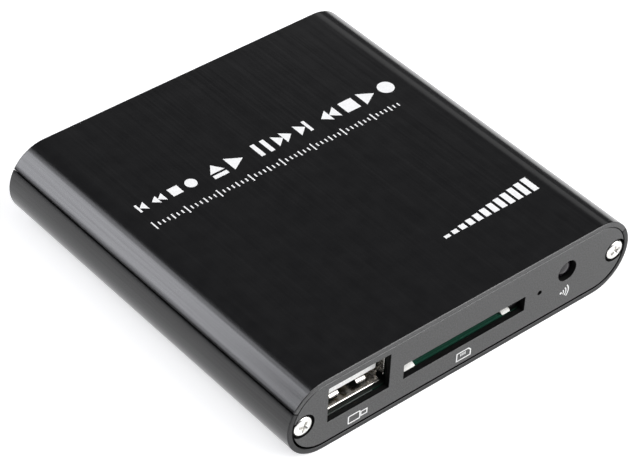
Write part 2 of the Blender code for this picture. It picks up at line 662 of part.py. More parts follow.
def status_light(parent, clear, lead_metal):
    """A round lamp lying on its side, with its dome at the pinhole, and its two bent leads."""
    front = INNER_END
    dome = LIGHT_BODY_RADIUS
    steps = 2 * SMALL_STEPS
    rings = []
    for angle in (70, 45, 20, 0):
        reach, radius = dome * math.sin(math.radians(angle)), dome * math.cos(math.radians(angle))
        rings.append((front + dome - reach, circle((0, 0), radius, steps)))
    flange_back = front + LIGHT_BODY_LENGTH
    flange_front = flange_back - LIGHT_FLANGE_LENGTH
    rings += [
        (flange_front, circle((0, 0), dome, steps)),
        (flange_front, circle((0, 0), LIGHT_FLANGE_RADIUS, steps)),
        (flange_back, circle((0, 0), LIGHT_FLANGE_RADIUS, steps)),
    ]
    piece("status_light", lofted(rings, "y"), clear, parent, (LIGHT_X, 0, LIGHT_Z))
    start, bend = flange_back + SNUG, flange_back + SNUG + LIGHT_LEAD_RUN
    half, foot = LEAD_THICKNESS / 2, BOARD_TOP + SNUG - LIGHT_Z
    side = [
        (start, -half), (bend - LEAD_THICKNESS, -half), (bend - LEAD_THICKNESS, foot), (bend, foot),
        (bend, half), (start, half),
    ]
    for name, x in (("left", -LIGHT_LEAD_PITCH / 2), ("right", LIGHT_LEAD_PITCH / 2)):
        place = (LIGHT_X + x, 0, LIGHT_Z)
        piece(f"light_lead_{name}", prism(side, -half, half, "x"), lead_metal, parent, place)


def remote_receiver(parent, dark, lead_metal):
    """A dark resin block with a lens that looks out of the panel's round hole, on three leads."""
    face = INNER_END
    half = RECEIVER_WIDTH / 2
    low = BOARD_TOP + SNUG + RECEIVER_LEAD_HEIGHT + SNUG - RECEIVER_Z
    body = block(-half, half, face, face + RECEIVER_DEPTH, low, low + RECEIVER_HEIGHT)
    receiver = piece("remote_receiver", body, dark, parent, (RECEIVER_X, 0, RECEIVER_Z))
    root = face + CLEARANCE
    rings = []
    for angle in (75, 50, 25, 0):
        reach, share = math.sin(math.radians(angle)), math.cos(math.radians(angle))
        outline = circle((0, 0), RECEIVER_LENS_RADIUS * share, 2 * SMALL_STEPS)
        rings.append((face - RECEIVER_LENS_RISE * reach, outline))
    rings.append((root, circle((0, 0), RECEIVER_LENS_RADIUS, 2 * SMALL_STEPS)))
    lens = tool("receiver_lens", lofted(rings, "y"), parent, (RECEIVER_X, 0, RECEIVER_Z))
    combine(receiver, "UNION", [lens])
    middle = face + RECEIVER_DEPTH / 2
    half = LEAD_THICKNESS / 2
    for number, step in enumerate((-1, 0, 1), 1):
        lead = block(-half, half, -half, half, 0, RECEIVER_LEAD_HEIGHT)
        place = (RECEIVER_X + step * RECEIVER_LEAD_PITCH, middle, BOARD_TOP + SNUG)
        piece(f"receiver_lead_{number}", lead, lead_metal, parent, place)


def video_outline(grow):
    """The video socket's mouth: a flat top, upright sides and slanted lower corners."""
    across, low, high = VIDEO_WIDTH / 2 + grow, CLEARANCE - grow, CLEARANCE + VIDEO_HEIGHT + grow
    foot, knee = across - VIDEO_KNEE_INSET, CLEARANCE + VIDEO_KNEE_HEIGHT
    return [(-foot, low), (foot, low), (across, knee), (across, high), (-across, high), (-across, knee)]


def raised(outline, lift):
    return [(x, z + lift) for x, z in outline]


def moved(outline, shift):
    return [(x + shift, z) for x, z in outline]


def video_socket(parent, metal, plastic):
    socket = frame("video_socket", (-VIDEO_X, VIDEO_SETBACK, BOARD_TOP), parent)
    shell = piece("video_socket_shell", prism(video_outline(0), 0, VIDEO_LENGTH), metal, socket)
    mouth = prism(video_outline(-VIDEO_WALL), -OVERRUN, VIDEO_LENGTH + OVERRUN)
    combine(shell, "DIFFERENCE", [tool("video_mouth", mouth, socket)])
    front = VIDEO_LENGTH - VIDEO_BLOCK_LENGTH
    body = prism(video_outline(-VIDEO_WALL - 2 * SNUG), front, VIDEO_LENGTH)
    insulator = piece("video_socket_insulator", body, plastic, socket)
    half, low = VIDEO_TONGUE_WIDTH / 2, CLEARANCE + VIDEO_TONGUE_HEIGHT
    end = front + VIDEO_BLOCK_LENGTH / 2
    tongue = block(-half, half, VIDEO_TONGUE_SETBACK, end, low, low + VIDEO_TONGUE_THICKNESS)
    combine(insulator, "UNION", [tool("video_tongue", tongue, socket)])


def av_jack(parent, plastic, metal):
    """The sound and picture jack: a moulded block with a deep bore, and a metal collar at its mouth."""
    axis_z = CLEARANCE + AV_BODY_HEIGHT / 2
    jack = frame("av_jack", (-AV_X, 0, BOARD_TOP), parent)
    half = AV_BODY_WIDTH / 2
    body = block(-half, half, INNER_END, INNER_END + AV_BODY_LENGTH, CLEARANCE, CLEARANCE + AV_BODY_HEIGHT)
    made = piece("av_jack_body", body, plastic, jack)
    bore = prism(circle((0, axis_z), AV_BORE_RADIUS, 2 * SMALL_STEPS), -OVERRUN, INNER_END + AV_BORE_DEPTH)
    combine(made, "DIFFERENCE", [tool("av_bore", bore, jack)])
    ring = circle((0, axis_z), AV_COLLAR_RADIUS, 2 * SMALL_STEPS)
    collar = piece("av_jack_collar", prism(ring, AV_COLLAR_SETBACK, INNER_END - SNUG), metal, jack)
    combine(collar, "DIFFERENCE", [tool("collar_bore", bore_through(axis_z, AV_BORE_RADIUS), jack)])


def bore_through(axis_z, radius):
    return prism(circle((0, axis_z), radius, 2 * SMALL_STEPS), -OVERRUN, INNER_END + OVERRUN)


def power_jack(parent, plastic, metal):
    """The power jack: a moulded block, the centre pin in its back wall, and the leaf under the plug."""
    axis_z = CLEARANCE + POWER_BODY_HEIGHT / 2
    jack = frame("power_jack", (-POWER_X, 0, BOARD_TOP), parent)
    half, back = POWER_BODY_WIDTH / 2, INNER_END + POWER_BODY_LENGTH
    body = block(-half, half, INNER_END, back, CLEARANCE, CLEARANCE + POWER_BODY_HEIGHT)
    made = piece("power_jack_body", body, plastic, jack)
    bore_back = INNER_END + POWER_BORE_DEPTH
    bore = prism(circle((0, axis_z), POWER_BORE_RADIUS, 2 * SMALL_STEPS), -OVERRUN, bore_back)
    hole = prism(circle((0, axis_z), POWER_PIN_RADIUS + SNUG, SMALL_STEPS), 0, back + OVERRUN)
    combine(made, "DIFFERENCE", [tool("power_bore", bore, jack), tool("power_pin_hole", hole, jack)])
    rings = [
        (POWER_PIN_SETBACK, circle((0, axis_z), POWER_PIN_RADIUS / 2, SMALL_STEPS)),
        (POWER_PIN_SETBACK + POWER_PIN_RADIUS / 2, circle((0, axis_z), POWER_PIN_RADIUS, SMALL_STEPS)),
        (back, circle((0, axis_z), POWER_PIN_RADIUS, SMALL_STEPS)),
    ]
    piece("power_jack_pin", lofted(rings, "y"), metal, jack)
    half = POWER_LEAF_WIDTH / 2
    drop = math.sqrt(POWER_BORE_RADIUS**2 - half**2)
    low = axis_z - drop + SNUG
    end = bore_back - CLEARANCE
    leaf = block(-half, half, end - POWER_LEAF_LENGTH, end, low, low + POWER_LEAF_THICKNESS)
    piece("power_jack_leaf", leaf, metal, jack)


def chamfered_block(size, chamfer):
    """A block that stands on the board with its top edges chamfered."""
    across, along, high = size
    rings = []
    for z, inset in ((0, 0), (high - chamfer, 0), (high, chamfer)):
        outline = rectangle(inset - across / 2, across / 2 - inset, inset - along / 2, along / 2 - inset)
        rings.append((z, outline))
    return lofted(rings, "z")


def on_board(shares):
    return shares[0] * BOARD_WIDTH, shares[1] * INNER_DEPTH


def processor(parent, resin, metal):
    side, corner = PROCESSOR_SIDE, PROCESSOR_CHAMFER
    half = side / 2
    outline = [
        (-half + corner, -half), (half, -half), (half, half), (-half, half), (-half, -half + corner),
    ]
    x, y = on_board(PROCESSOR_SHARES)
    piece("media_processor", prism(outline, 0, PROCESSOR_HEIGHT, "z"), resin, parent, (x, y, CLEARANCE))
    low = CLEARANCE + PROCESSOR_HEIGHT + SNUG
    half = HEAT_SINK_SIDE / 2
    pitch = (HEAT_SINK_SIDE - HEAT_SINK_FIN) / (HEAT_SINK_FINS - 1)
    comb = [(half, 0), (half, HEAT_SINK_HEIGHT)]
    for fin in range(HEAT_SINK_FINS - 1):
        right = half - HEAT_SINK_FIN - fin * pitch
        left = right - (pitch - HEAT_SINK_FIN)
        comb += [(right, HEAT_SINK_HEIGHT), (right, HEAT_SINK_BASE)]
        comb += [(left, HEAT_SINK_BASE), (left, HEAT_SINK_HEIGHT)]
    comb += [(-half, HEAT_SINK_HEIGHT), (-half, 0)]
    piece("heat_sink", prism(comb, -half, half), metal, parent, (x, y, low))


def board_parts(parent, resin, metal, sleeve):
    chips = (
        ("memory_chip", MEMORY_SHARES, MEMORY_SIZE),
        ("flash_chip", FLASH_SHARES, FLASH_SIZE),
        ("voltage_regulator", REGULATOR_SHARES, REGULATOR_SIZE),
    )
    for name, shares, size in chips:
        x, y = on_board(shares)
        piece(name, chamfered_block(size, CHIP_CHAMFER), resin, parent, (x, y, CLEARANCE))
    x, y = on_board(CRYSTAL_SHARES)
    can = rounded_rectangle(CRYSTAL_LENGTH, CRYSTAL_WIDTH, CRYSTAL_WIDTH / 2 - SNUG, (0, 0), 5)
    piece("crystal", prism(can, 0, CRYSTAL_HEIGHT, "z"), metal, parent, (x, y, CLEARANCE))
    x, y = on_board(INDUCTOR_SHARES)
    core = rounded_rectangle(INDUCTOR_SIDE, INDUCTOR_SIDE, INDUCTOR_CORNER, (0, 0))
    piece("power_inductor", prism(core, 0, INDUCTOR_HEIGHT, "z"), resin, parent, (x, y, CLEARANCE))
    for number, shares in enumerate(CAPACITOR_SHARES, 1):
        x, y = on_board(shares)
        capacitor(f"capacitor_{number}", x, y, parent, sleeve, resin)


def capacitor(name, x, y, parent, sleeve, resin):
    """An aluminium can with its crimped groove, on a square resin base."""
    side = 2 * CAPACITOR_RADIUS
    foot = rounded_rectangle(side, side, CAPACITOR_BASE_CORNER, (0, 0))
    piece(f"{name}_base", prism(foot, 0, CAPACITOR_BASE, "z"), resin, parent, (x, y, CLEARANCE))
    low = CLEARANCE + CAPACITOR_BASE + SNUG
    tall = CAPACITOR_HEIGHT - CAPACITOR_BASE
    start, waist, end = (tall * share for share in CAPACITOR_GROOVE_SHARES)
    narrow = CAPACITOR_RADIUS - CAPACITOR_GROOVE_DEPTH
    profile = [
        (0, CAPACITOR_RADIUS), (start, CAPACITOR_RADIUS), (waist, narrow), (end, CAPACITOR_RADIUS),
        (tall - CAPACITOR_GROOVE_DEPTH, CAPACITOR_RADIUS), (tall, narrow),
    ]
    rings = [(z, circle((0, 0), radius, 2 * SMALL_STEPS)) for z, radius in profile]
    piece(name, lofted(rings, "z"), sleeve, parent, (x, y, low))


def front_openings():
    """The openings follow what stands behind them on the board."""
    port_low = BOARD_TOP + CLEARANCE + PORT_SILL
    port_high = CASE_HEIGHT - PANEL_INSET - PORT_LINTEL
    slot_low, slot_high = BOARD_TOP + SLOT_SILL, BOARD_TOP + SOCKET_TOP + SLOT_HEADROOM
    return [
        ("port_opening", rectangle(PORT_X - PORT_HALF, PORT_X + PORT_HALF, port_low, port_high)),
        ("card_opening", rectangle(SOCKET_X - SLOT_HALF, SOCKET_X + SLOT_HALF, slot_low, slot_high)),
        ("light_hole", circle((LIGHT_X, LIGHT_Z), LIGHT_HOLE_RADIUS, SMALL_STEPS)),
        ("receiver_hole", circle((RECEIVER_X, RECEIVER_Z), RECEIVER_HOLE_RADIUS, 2 * SMALL_STEPS)),
    ]


def rear_openings():
    video = moved(raised(video_outline(CLEARANCE), BOARD_TOP), -VIDEO_X)
    av_z = BOARD_TOP + CLEARANCE + AV_BODY_HEIGHT / 2
    power_z = BOARD_TOP + CLEARANCE + POWER_BODY_HEIGHT / 2
    return [
        ("video_opening", video),
        ("av_hole", circle((-AV_X, av_z), AV_COLLAR_RADIUS + CLEARANCE, 2 * SMALL_STEPS)),
        ("power_hole", circle((-POWER_X, power_z), POWER_HOLE_RADIUS, 2 * SMALL_STEPS)),
    ]


def main():
    for old in list(bpy.data.objects):
        bpy.data.objects.remove(old)

    case_black = look("case_black", (0.012, 0.012, 0.013), 0.3, 0.4)
    panel_grey = look("panel_grey", (0.13, 0.13, 0.13), 0.55, 0.3)
    screw_steel = look("screw_steel", (0.8, 0.8, 0.78), 0.25, 1.0)
    board_green = look("board_green", (0.008, 0.045, 0.032), 0.4)
    socket_metal = look("socket_metal", (0.72, 0.72, 0.7), 0.3, 1.0)
    contact_gold = look("contact_gold", (0.75, 0.52, 0.2), 0.3, 1.0)
    white_plastic = look("white_plastic", (0.8, 0.8, 0.78), 0.5)
    black_plastic = look("black_plastic", (0.02, 0.02, 0.02), 0.5)
    slider_plastic = look("slider_plastic", (0.35, 0.33, 0.3), 0.5)
    chip_resin = look("chip_resin", (0.018, 0.018, 0.02), 0.6)
    lens_resin = look("lens_resin", (0.01, 0.008, 0.012), 0.15)
    light_resin = look("light_resin", (0.55, 0.65, 0.75), 0.2)
    can_metal = look("can_metal", (0.7, 0.7, 0.7), 0.35, 1.0)

    player = frame("media_player", (0, 0, 0))
    front = frame("front_end", (0, -CASE_DEPTH / 2, 0), player)
    rear = frame("rear_end", (0, CASE_DEPTH / 2, 0), player, math.pi)
    board = frame("board", (0, 0, BOARD_TOP), player)

    upper_cover(player, case_black)
    lower_shell(player, case_black)
    end_panel("front_panel", front, panel_grey, front_openings())
    end_panel("rear_panel", rear, panel_grey, rear_openings())
    for side, x in (("left", -SCREW_X), ("right", SCREW_X)):
        screw(f"front_screw_{side}", x, front, screw_steel)
        screw(f"rear_screw_{side}", -x, rear, screw_steel)

    circuit_board(board, board_green)
    processor(board, chip_resin, can_metal)
    board_parts(board, chip_resin, can_metal, can_metal)
    data_port(front, socket_metal, white_plastic, contact_gold)
    card_socket(front, black_plastic, socket_metal, contact_gold, screw_steel, slider_plastic)
    status_light(front, light_resin, socket_metal)
    remote_receiver(front, lens_resin, socket_metal)
    video_socket(rear, socket_metal, black_plastic)
    av_jack(rear, black_plastic, socket_metal)
    power_jack(rear, black_plastic, socket_metal)


main()
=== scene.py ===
"""The looks of a palm-sized media player: its finishes, its fine edges, its printed marks and a plain studio.

All lengths are metres in the frame's own axes: +Z up, the front panel facing -Y, the underside on Z = 0.
"""

import math

import bmesh
import bpy
from mathutils import Matrix, Vector


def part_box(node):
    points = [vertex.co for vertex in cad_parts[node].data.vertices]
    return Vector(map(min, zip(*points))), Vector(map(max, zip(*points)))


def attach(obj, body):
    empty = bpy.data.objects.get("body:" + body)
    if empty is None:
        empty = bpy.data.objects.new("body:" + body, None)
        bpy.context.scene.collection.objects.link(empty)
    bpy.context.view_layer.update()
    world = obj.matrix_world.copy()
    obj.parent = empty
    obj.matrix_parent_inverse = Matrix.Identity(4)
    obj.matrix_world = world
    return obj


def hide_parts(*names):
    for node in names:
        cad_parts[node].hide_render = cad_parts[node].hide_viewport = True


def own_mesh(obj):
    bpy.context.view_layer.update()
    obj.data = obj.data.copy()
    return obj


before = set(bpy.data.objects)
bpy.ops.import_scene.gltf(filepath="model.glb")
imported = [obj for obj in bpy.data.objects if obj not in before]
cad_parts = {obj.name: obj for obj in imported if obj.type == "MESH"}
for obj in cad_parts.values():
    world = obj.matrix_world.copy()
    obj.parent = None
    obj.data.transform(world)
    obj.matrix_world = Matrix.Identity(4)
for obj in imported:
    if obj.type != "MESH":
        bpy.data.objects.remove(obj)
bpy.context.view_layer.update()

# Lower shell of the case
# An aluminium extrusion, sawn to length, with the board's rails, the screw channels and the lips of the
# seam drawn in one piece. It is coated gloss black, and its cut ends are bare of the black coat.

HALF_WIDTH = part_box("lower_shell")[1].x
HALF_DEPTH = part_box("lower_shell")[1].y
CASE_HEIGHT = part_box("upper_cover")[1].z
MIDDLE_Z = CASE_HEIGHT / 2
PRINT_THICKNESS = 0.000015
OUTER_RADIUS = CASE_HEIGHT / 2 - PRINT_THICKNESS
ROUND_X = HALF_WIDTH - CASE_HEIGHT / 2
CASE_WALL = 0.0010
INNER_RADIUS = OUTER_RADIUS - CASE_WALL
SAWN_EDGE = 0.00022
INNER_EDGE = 0.00008
SEAM_EDGE = 0.00010
HALF_ROUND_STEPS = 28
EDGE_STEPS = 4
SEAM_EDGE_STEPS = 3
SMOOTH_ANGLE = 35
SEAM_GAP = 0.0002
SHELL_SEAM_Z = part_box("upper_cover")[0].z - SEAM_GAP

CHANNEL_RADIUS = 0.0026
CHANNEL_BORE = 0.0012
CHANNEL_SLOT = 0.0010
CHANNEL_X = HALF_WIDTH - 0.0034
CHANNEL_END = 0.0385
CHANNEL_STEPS = 40
BORE_STEPS = 24
RAIL_THICKNESS = 0.0007
RAIL_OVERLAP = 0.0010
RAIL_SETBACK = 0.0006
RAIL_END = CHANNEL_END - RAIL_SETBACK
RAIL_STEPS = 3
LIP_THICKNESS = 0.0008
LIP_GAP = 0.0003
LIP_ROOT_ANGLE = 12.0
LIP_REACH_ANGLE = 17.5
LIP_SHOULDER_ANGLE = 1.0
LIP_STEPS = 8
LIP_END = 0.03878
OVERRUN = 0.0010


def arc(centre, radius, start, end, steps):
    """Points on a circular arc, with its angles in degrees."""
    angles = [math.radians(start + (end - start) * step / steps) for step in range(steps + 1)]
    return [(centre[0] + radius * math.cos(a), centre[1] + radius * math.sin(a)) for a in angles]


def circle(centre, radius, steps):
    return arc(centre, radius, 0, 360, steps)[:-1]


def rectangle(left, right, low, high):
    return [(left, low), (right, low), (right, high), (left, high)]


def mirrored(outline):
    return [(-x, z) for x, z in reversed(outline)]


def shifted(outline, x, z):
    return [(a + x, b + z) for a, b in outline]


def banded(bm, near_loops, far_loops):
    """Fills the bands between closed loops of equal count."""
    for near, far in zip(near_loops, far_loops):
        for i in range(len(near)):
            j = (i + 1) % len(near)
            bm.faces.new((near[i], near[j], far[j], far[i]))


def loft_into(bm, rings, axis):
    """Adds a closed body through rings of equal count: (place along the axis, outline across it)."""
    order = {
        "x": lambda a, b, along: (along, a, b),
        "y": lambda a, b, along: (a, along, b),
        "z": lambda a, b, along: (a, b, along),
    }[axis]
    loops = [[bm.verts.new(order(a, b, along)) for a, b in outline] for along, outline in rings]
    bm.faces.new(loops[0])
    bm.faces.new(loops[-1])
    banded(bm, loops[:-1], loops[1:])


def lofted(rings, axis="y"):
    """A closed body through rings of equal count."""
    bm = bmesh.new()
    loft_into(bm, rings, axis)
    return bm


def prism(outline, start, end, axis="y"):
    """A straight body of one outline from start to end."""
    return lofted([(start, outline), (end, outline)], axis)


def made(name, bm, *finishes, smooth=SMOOTH_ANGLE):
    """A finished mesh as an object, smooth over its rounded edges and flat on its flats."""
    bmesh.ops.recalc_face_normals(bm, faces=bm.faces)
    mesh = bpy.data.meshes.new(name)
    bm.to_mesh(mesh)
    bm.free()
    mesh.shade_smooth()
    mesh.set_sharp_from_angle(angle=math.radians(smooth))
    for finish in finishes:
        mesh.materials.append(finish)
    piece = bpy.data.objects.new(name, mesh)
    bpy.context.scene.collection.objects.link(piece)
    return piece


def worked(piece, operation, shapes):
    """Joins shapes to a piece or cuts them out of it, and keeps the result as its mesh."""
    tools = [made(f"tool_{number}", shape) for number, shape in enumerate(shapes)]
    for tool in tools:
        step = piece.modifiers.new(tool.name, "BOOLEAN")
        step.operation = operation
        step.solver = "EXACT"
        step.object = tool
    graph = bpy.context.evaluated_depsgraph_get()
    result = bpy.data.meshes.new_from_object(piece.evaluated_get(graph))
    piece.modifiers.clear()
    piece.data = result
    result.name = piece.name
    for tool in tools:
        bpy.data.objects.remove(tool)
    result.shade_smooth()
    result.set_sharp_from_angle(angle=math.radians(SMOOTH_ANGLE))


def level(piece):
    """Lets the large flat faces set the shading, so that rounded edges don't tint them."""
    flats = piece.modifiers.new("flats", "WEIGHTED_NORMAL")
    flats.keep_sharp = True
    return piece


def edge_ring(radius, steps=EDGE_STEPS):
    """(depth, setback) along a quarter round, from the end face out to the surface."""
    angles = [math.radians(90 * step / steps) for step in range(steps + 1)]
    return [(radius * (1 - math.sin(a)), radius * (1 - math.cos(a))) for a in angles]


def wall_loop(thinning):
    """The wall's lengthways section as (depth, y), with its sawn ends broken on both sides."""
    near = edge_ring(SAWN_EDGE)
    outside = [(depth, -HALF_DEPTH + back) for depth, back in near]
    outside += [(depth, HALF_DEPTH - back) for depth, back in reversed(near)]
    inside = [
        (CASE_WALL - INNER_EDGE, HALF_DEPTH),
        (CASE_WALL, HALF_DEPTH - INNER_EDGE),
        (CASE_WALL, -HALF_DEPTH + INNER_EDGE),
        (CASE_WALL - INNER_EDGE, -HALF_DEPTH),
    ]
    outside = [(max(depth, thinning), y) for depth, y in outside]
    return outside + [(min(depth, CASE_WALL - thinning), y) for depth, y in inside]


def wall_places(start, end):
    """(centre x, angle in degrees, thinning) round the section, from one seam edge to the other."""
    middle = (start + end) / 2
    places = []
    for low, high, outermost in ((start, middle, start), (middle, end, end)):
        centre_x = math.copysign(ROUND_X, math.cos(math.radians(outermost)))
        for step in range(HALF_ROUND_STEPS + 1):
            places.append((centre_x, low + (high - low) * step / HALF_ROUND_STEPS, 0.0))
    broken = edge_ring(SEAM_EDGE, SEAM_EDGE_STEPS)[:-1]
    broken = [(thin, math.degrees(back / OUTER_RADIUS)) for thin, back in broken]
    first = [(places[0][0], start + turn, thin) for thin, turn in broken]
    last = [(places[-1][0], end - turn, thin) for thin, turn in reversed(broken)]
    return first + places[1:-1] + last


def case_wall(start, end):
    """A case half: its wall's section carried round from seam to seam. Faces at the sawn ends are slot 1."""
    bm = bmesh.new()
    columns = []
    for centre_x, degrees, thinning in wall_places(start, end):
        angle = math.radians(degrees)
        column = []
        for depth, y in wall_loop(thinning):
            radius = OUTER_RADIUS - depth
            x = centre_x + radius * math.cos(angle)
            z = MIDDLE_Z + radius * math.sin(angle)
            column.append(bm.verts.new((x, y, z)))
        columns.append(column)
    bm.faces.new(columns[0])
    bm.faces.new(columns[-1])
    count = len(columns[0])
    outer_run, inner_run = EDGE_STEPS, count - 3
    for one, other in zip(columns, columns[1:]):
        for i in range(count):
            j = (i + 1) % count
            face = bm.faces.new((one[i], one[j], other[j], other[i]))
            face.material_index = 0 if i in (outer_run, inner_run) else 1
    return bm


def finish_nodes(name, colour, roughness, metallic=0.0, ior=1.5):
    """A new material with its constants on the shader's own sockets: (material, node tree, shader)."""
    material = bpy.data.materials.new(name)
    material.use_nodes = True
    tree = material.node_tree
    shader = tree.nodes["Principled BSDF"]
    shader.inputs["Base Color"].default_value = (*colour, 1)
    shader.inputs["Roughness"].default_value = roughness
    shader.inputs["Metallic"].default_value = metallic
    shader.inputs["IOR"].default_value = ior
    return material, tree, shader


def speckle(tree, scale, detail=2.0, stretch=(1, 1, 1)):
    """A noise over the object's own coordinates, in speckles per metre, stretched along an axis."""
    place = tree.nodes.new("ShaderNodeTexCoord")
    mapping = tree.nodes.new("ShaderNodeMapping")
    mapping.inputs["Scale"].default_value = stretch
    noise = tree.nodes.new("ShaderNodeTexNoise")
    noise.inputs["Scale"].default_value = scale
    noise.inputs["Detail"].default_value = detail
    tree.links.new(place.outputs["Object"], mapping.inputs["Vector"])
    tree.links.new(mapping.outputs["Vector"], noise.inputs["Vector"])
    return noise.outputs["Fac"]


def ranged(tree, value, low, high, socket):
    """Spreads a value of 0.3 to 0.7 over a range, for one of the shader's sockets."""
    spread = tree.nodes.new("ShaderNodeMapRange")
    spread.inputs["From Min"].default_value = 0.3
    spread.inputs["From Max"].default_value = 0.7
    spread.inputs["To Min"].default_value = low
    spread.inputs["To Max"].default_value = high
    tree.links.new(value, spread.inputs["Value"])
    tree.links.new(spread.outputs["Result"], socket)


def bumped(tree, shader, value, height):
    """Raises the surface by a value, to a height in metres."""
    bump = tree.nodes.new("ShaderNodeBump")
    bump.inputs["Distance"].default_value = height
    bump.inputs["Strength"].default_value = 1.0
    tree.links.new(value, bump.inputs["Height"])
    tree.links.new(bump.outputs["Normal"], shader.inputs["Normal"])


def mottled(tree, shader, value, deep, pale, low=0.3, high=0.7):
    """Blends the base colour between two tones by a value."""
    ramp = tree.nodes.new("ShaderNodeValToRGB")
    for element, place, tone in zip(ramp.color_ramp.elements, (low, high), (deep, pale)):
        element.position = place
        element.color = (*tone, 1)
    tree.links.new(value, ramp.inputs["Fac"])
    tree.links.new(ramp.outputs["Color"], shader.inputs["Base Color"])


def black_coat():
    """Gloss black over drawn metal: fine draw lines along the depth and a faint orange-peel."""
    material, tree, shader = finish_nodes("black_coat", (0.010, 0.010, 0.0105), 0.16)
    lines = speckle(tree, 3600, 3.0, (1, 0.010, 1))
    cloud = speckle(tree, 300, 2.0)
    ranged(tree, lines, 0.12, 0.20, shader.inputs["Roughness"])
    ranged(tree, lines, 0.42, 0.57, shader.inputs["Specular IOR Level"])
    mottled(tree, shader, cloud, (0.0072, 0.0072, 0.0077), (0.0098, 0.0098, 0.0103))
    bumped(tree, shader, lines, 0.0000022)
    return material


def scaled(tone, times):
    return tuple(min(1.0, part * times) for part in tone)


def blasted_grey(name="blasted_grey", tone=(0.096, 0.096, 0.097)):
    """Bead-blasted and grey-anodised metal: an even fine grain over a satin sheen."""
    material, tree, shader = finish_nodes(name, tone, 0.42, 0.92)
    grain = speckle(tree, 3400, 3.0)
    mottled(tree, shader, grain, scaled(tone, 0.72), scaled(tone, 1.28), 0.32, 0.68)
    ranged(tree, grain, 0.36, 0.48, shader.inputs["Roughness"])
    bumped(tree, shader, grain, 0.000008)
    return material


coat = black_coat()
# The shell's cut ends take a darker copy of the cover's end grey: painted shade on the lower rim.
lower_end_shaded = blasted_grey("lower_end_painted_shade", (0.040, 0.040, 0.041))
seam_turn = math.degrees(math.asin((SHELL_SEAM_Z - MIDDLE_Z) / OUTER_RADIUS))
lower_shell = made("shell_extrusion", case_wall(180 - seam_turn, 360 + seam_turn), coat, lower_end_shaded)

in_wall = INNER_RADIUS + CASE_WALL / 2
round_centre = (ROUND_X, MIDDLE_Z)
board_low, board_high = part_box("circuit_board")
lip_out = INNER_RADIUS - LIP_GAP
lip_in = lip_out - LIP_THICKNESS
root_turn, reach_turn = seam_turn - LIP_ROOT_ANGLE, seam_turn + LIP_REACH_ANGLE
shoulder_turn = seam_turn - LIP_SHOULDER_ANGLE
lip = (
    arc(round_centre, lip_in, root_turn, reach_turn, LIP_STEPS)
    + arc(round_centre, lip_out, reach_turn, shoulder_turn, LIP_STEPS)
    + arc(round_centre, in_wall, shoulder_turn, root_turn, LIP_STEPS // 2)
)


def rail(low, high):
    """A rail's section: flat under and over, and rooted in the round wall."""
    start, end = (math.degrees(math.asin((z - MIDDLE_Z) / in_wall)) for z in (low, high))
    edge_x = board_high.x - RAIL_OVERLAP
    return [(edge_x, high), (edge_x, low)] + arc(round_centre, in_wall, start, end, RAIL_STEPS)


shelf_top = board_low.z - LIP_GAP
guide_low = board_high.z + LIP_GAP
joins, cuts = [], []
for turned in (list, mirrored):
    channel = circle((CHANNEL_X, MIDDLE_Z), CHANNEL_RADIUS, CHANNEL_STEPS)
    joins.append(prism(turned(channel), -CHANNEL_END, CHANNEL_END))
    for low in (shelf_top - RAIL_THICKNESS, guide_low):
        joins.append(prism(turned(rail(low, low + RAIL_THICKNESS)), -RAIL_END, RAIL_END))
    joins.append(prism(turned(lip), -LIP_END, LIP_END))
    reach = CHANNEL_END + OVERRUN
    cuts.append(prism(turned(circle((CHANNEL_X, MIDDLE_Z), CHANNEL_BORE, BORE_STEPS)), -reach, reach))
    slot_low, slot_high = MIDDLE_Z - CHANNEL_SLOT / 2, MIDDLE_Z + CHANNEL_SLOT / 2
    slot_outline = rectangle(CHANNEL_X - CHANNEL_RADIUS - OVERRUN, CHANNEL_X, slot_low, slot_high)
    cuts.append(prism(turned(slot_outline), -reach, reach))
worked(lower_shell, "UNION", joins)
worked(lower_shell, "DIFFERENCE", cuts)
level(lower_shell)
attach(lower_shell, "case")
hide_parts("lower_shell")

# Circuit board
# A four-layer glass-epoxy board under a dark green solder mask, held by its edges in the shell's rails.
# Its cut edge shows the bare laminate, and plated holes and pads lie round the parts.

BOARD_CORNER = 0.0006
PAD_RISE = 0.00004
VIA_RADIUS = 0.00022
VIA_CROWN_SHARE = 0.8
VIA_STEPS = 16
VIA_PITCH = 0.0016
VIA_STAGGER = 0.0006
VIA_ROWS = ((-0.030, 20), (0.0305, 16), (-0.0175, 6), (0.0225, 12))


def centre(node):
    low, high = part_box(node)
    return (low + high) / 2


def rounded(left, right, low, high, corner, steps=4):
    """A rectangle with rounded corners."""
    points = []
    for turn, (x, z) in enumerate(((right, high), (left, high), (left, low), (right, low))):
        centre_x = x - math.copysign(corner, x - (left + right) / 2)
        centre_z = z - math.copysign(corner, z - (low + high) / 2)
        points += arc((centre_x, centre_z), corner, 90 * turn, 90 * turn + 90, steps)
    return points


def plan(low, high, inset, corner, steps=4):
    """The outline of a box seen from above, drawn inset."""
    return rounded(low.x + inset, high.x - inset, low.y + inset, high.y - inset, corner, steps)


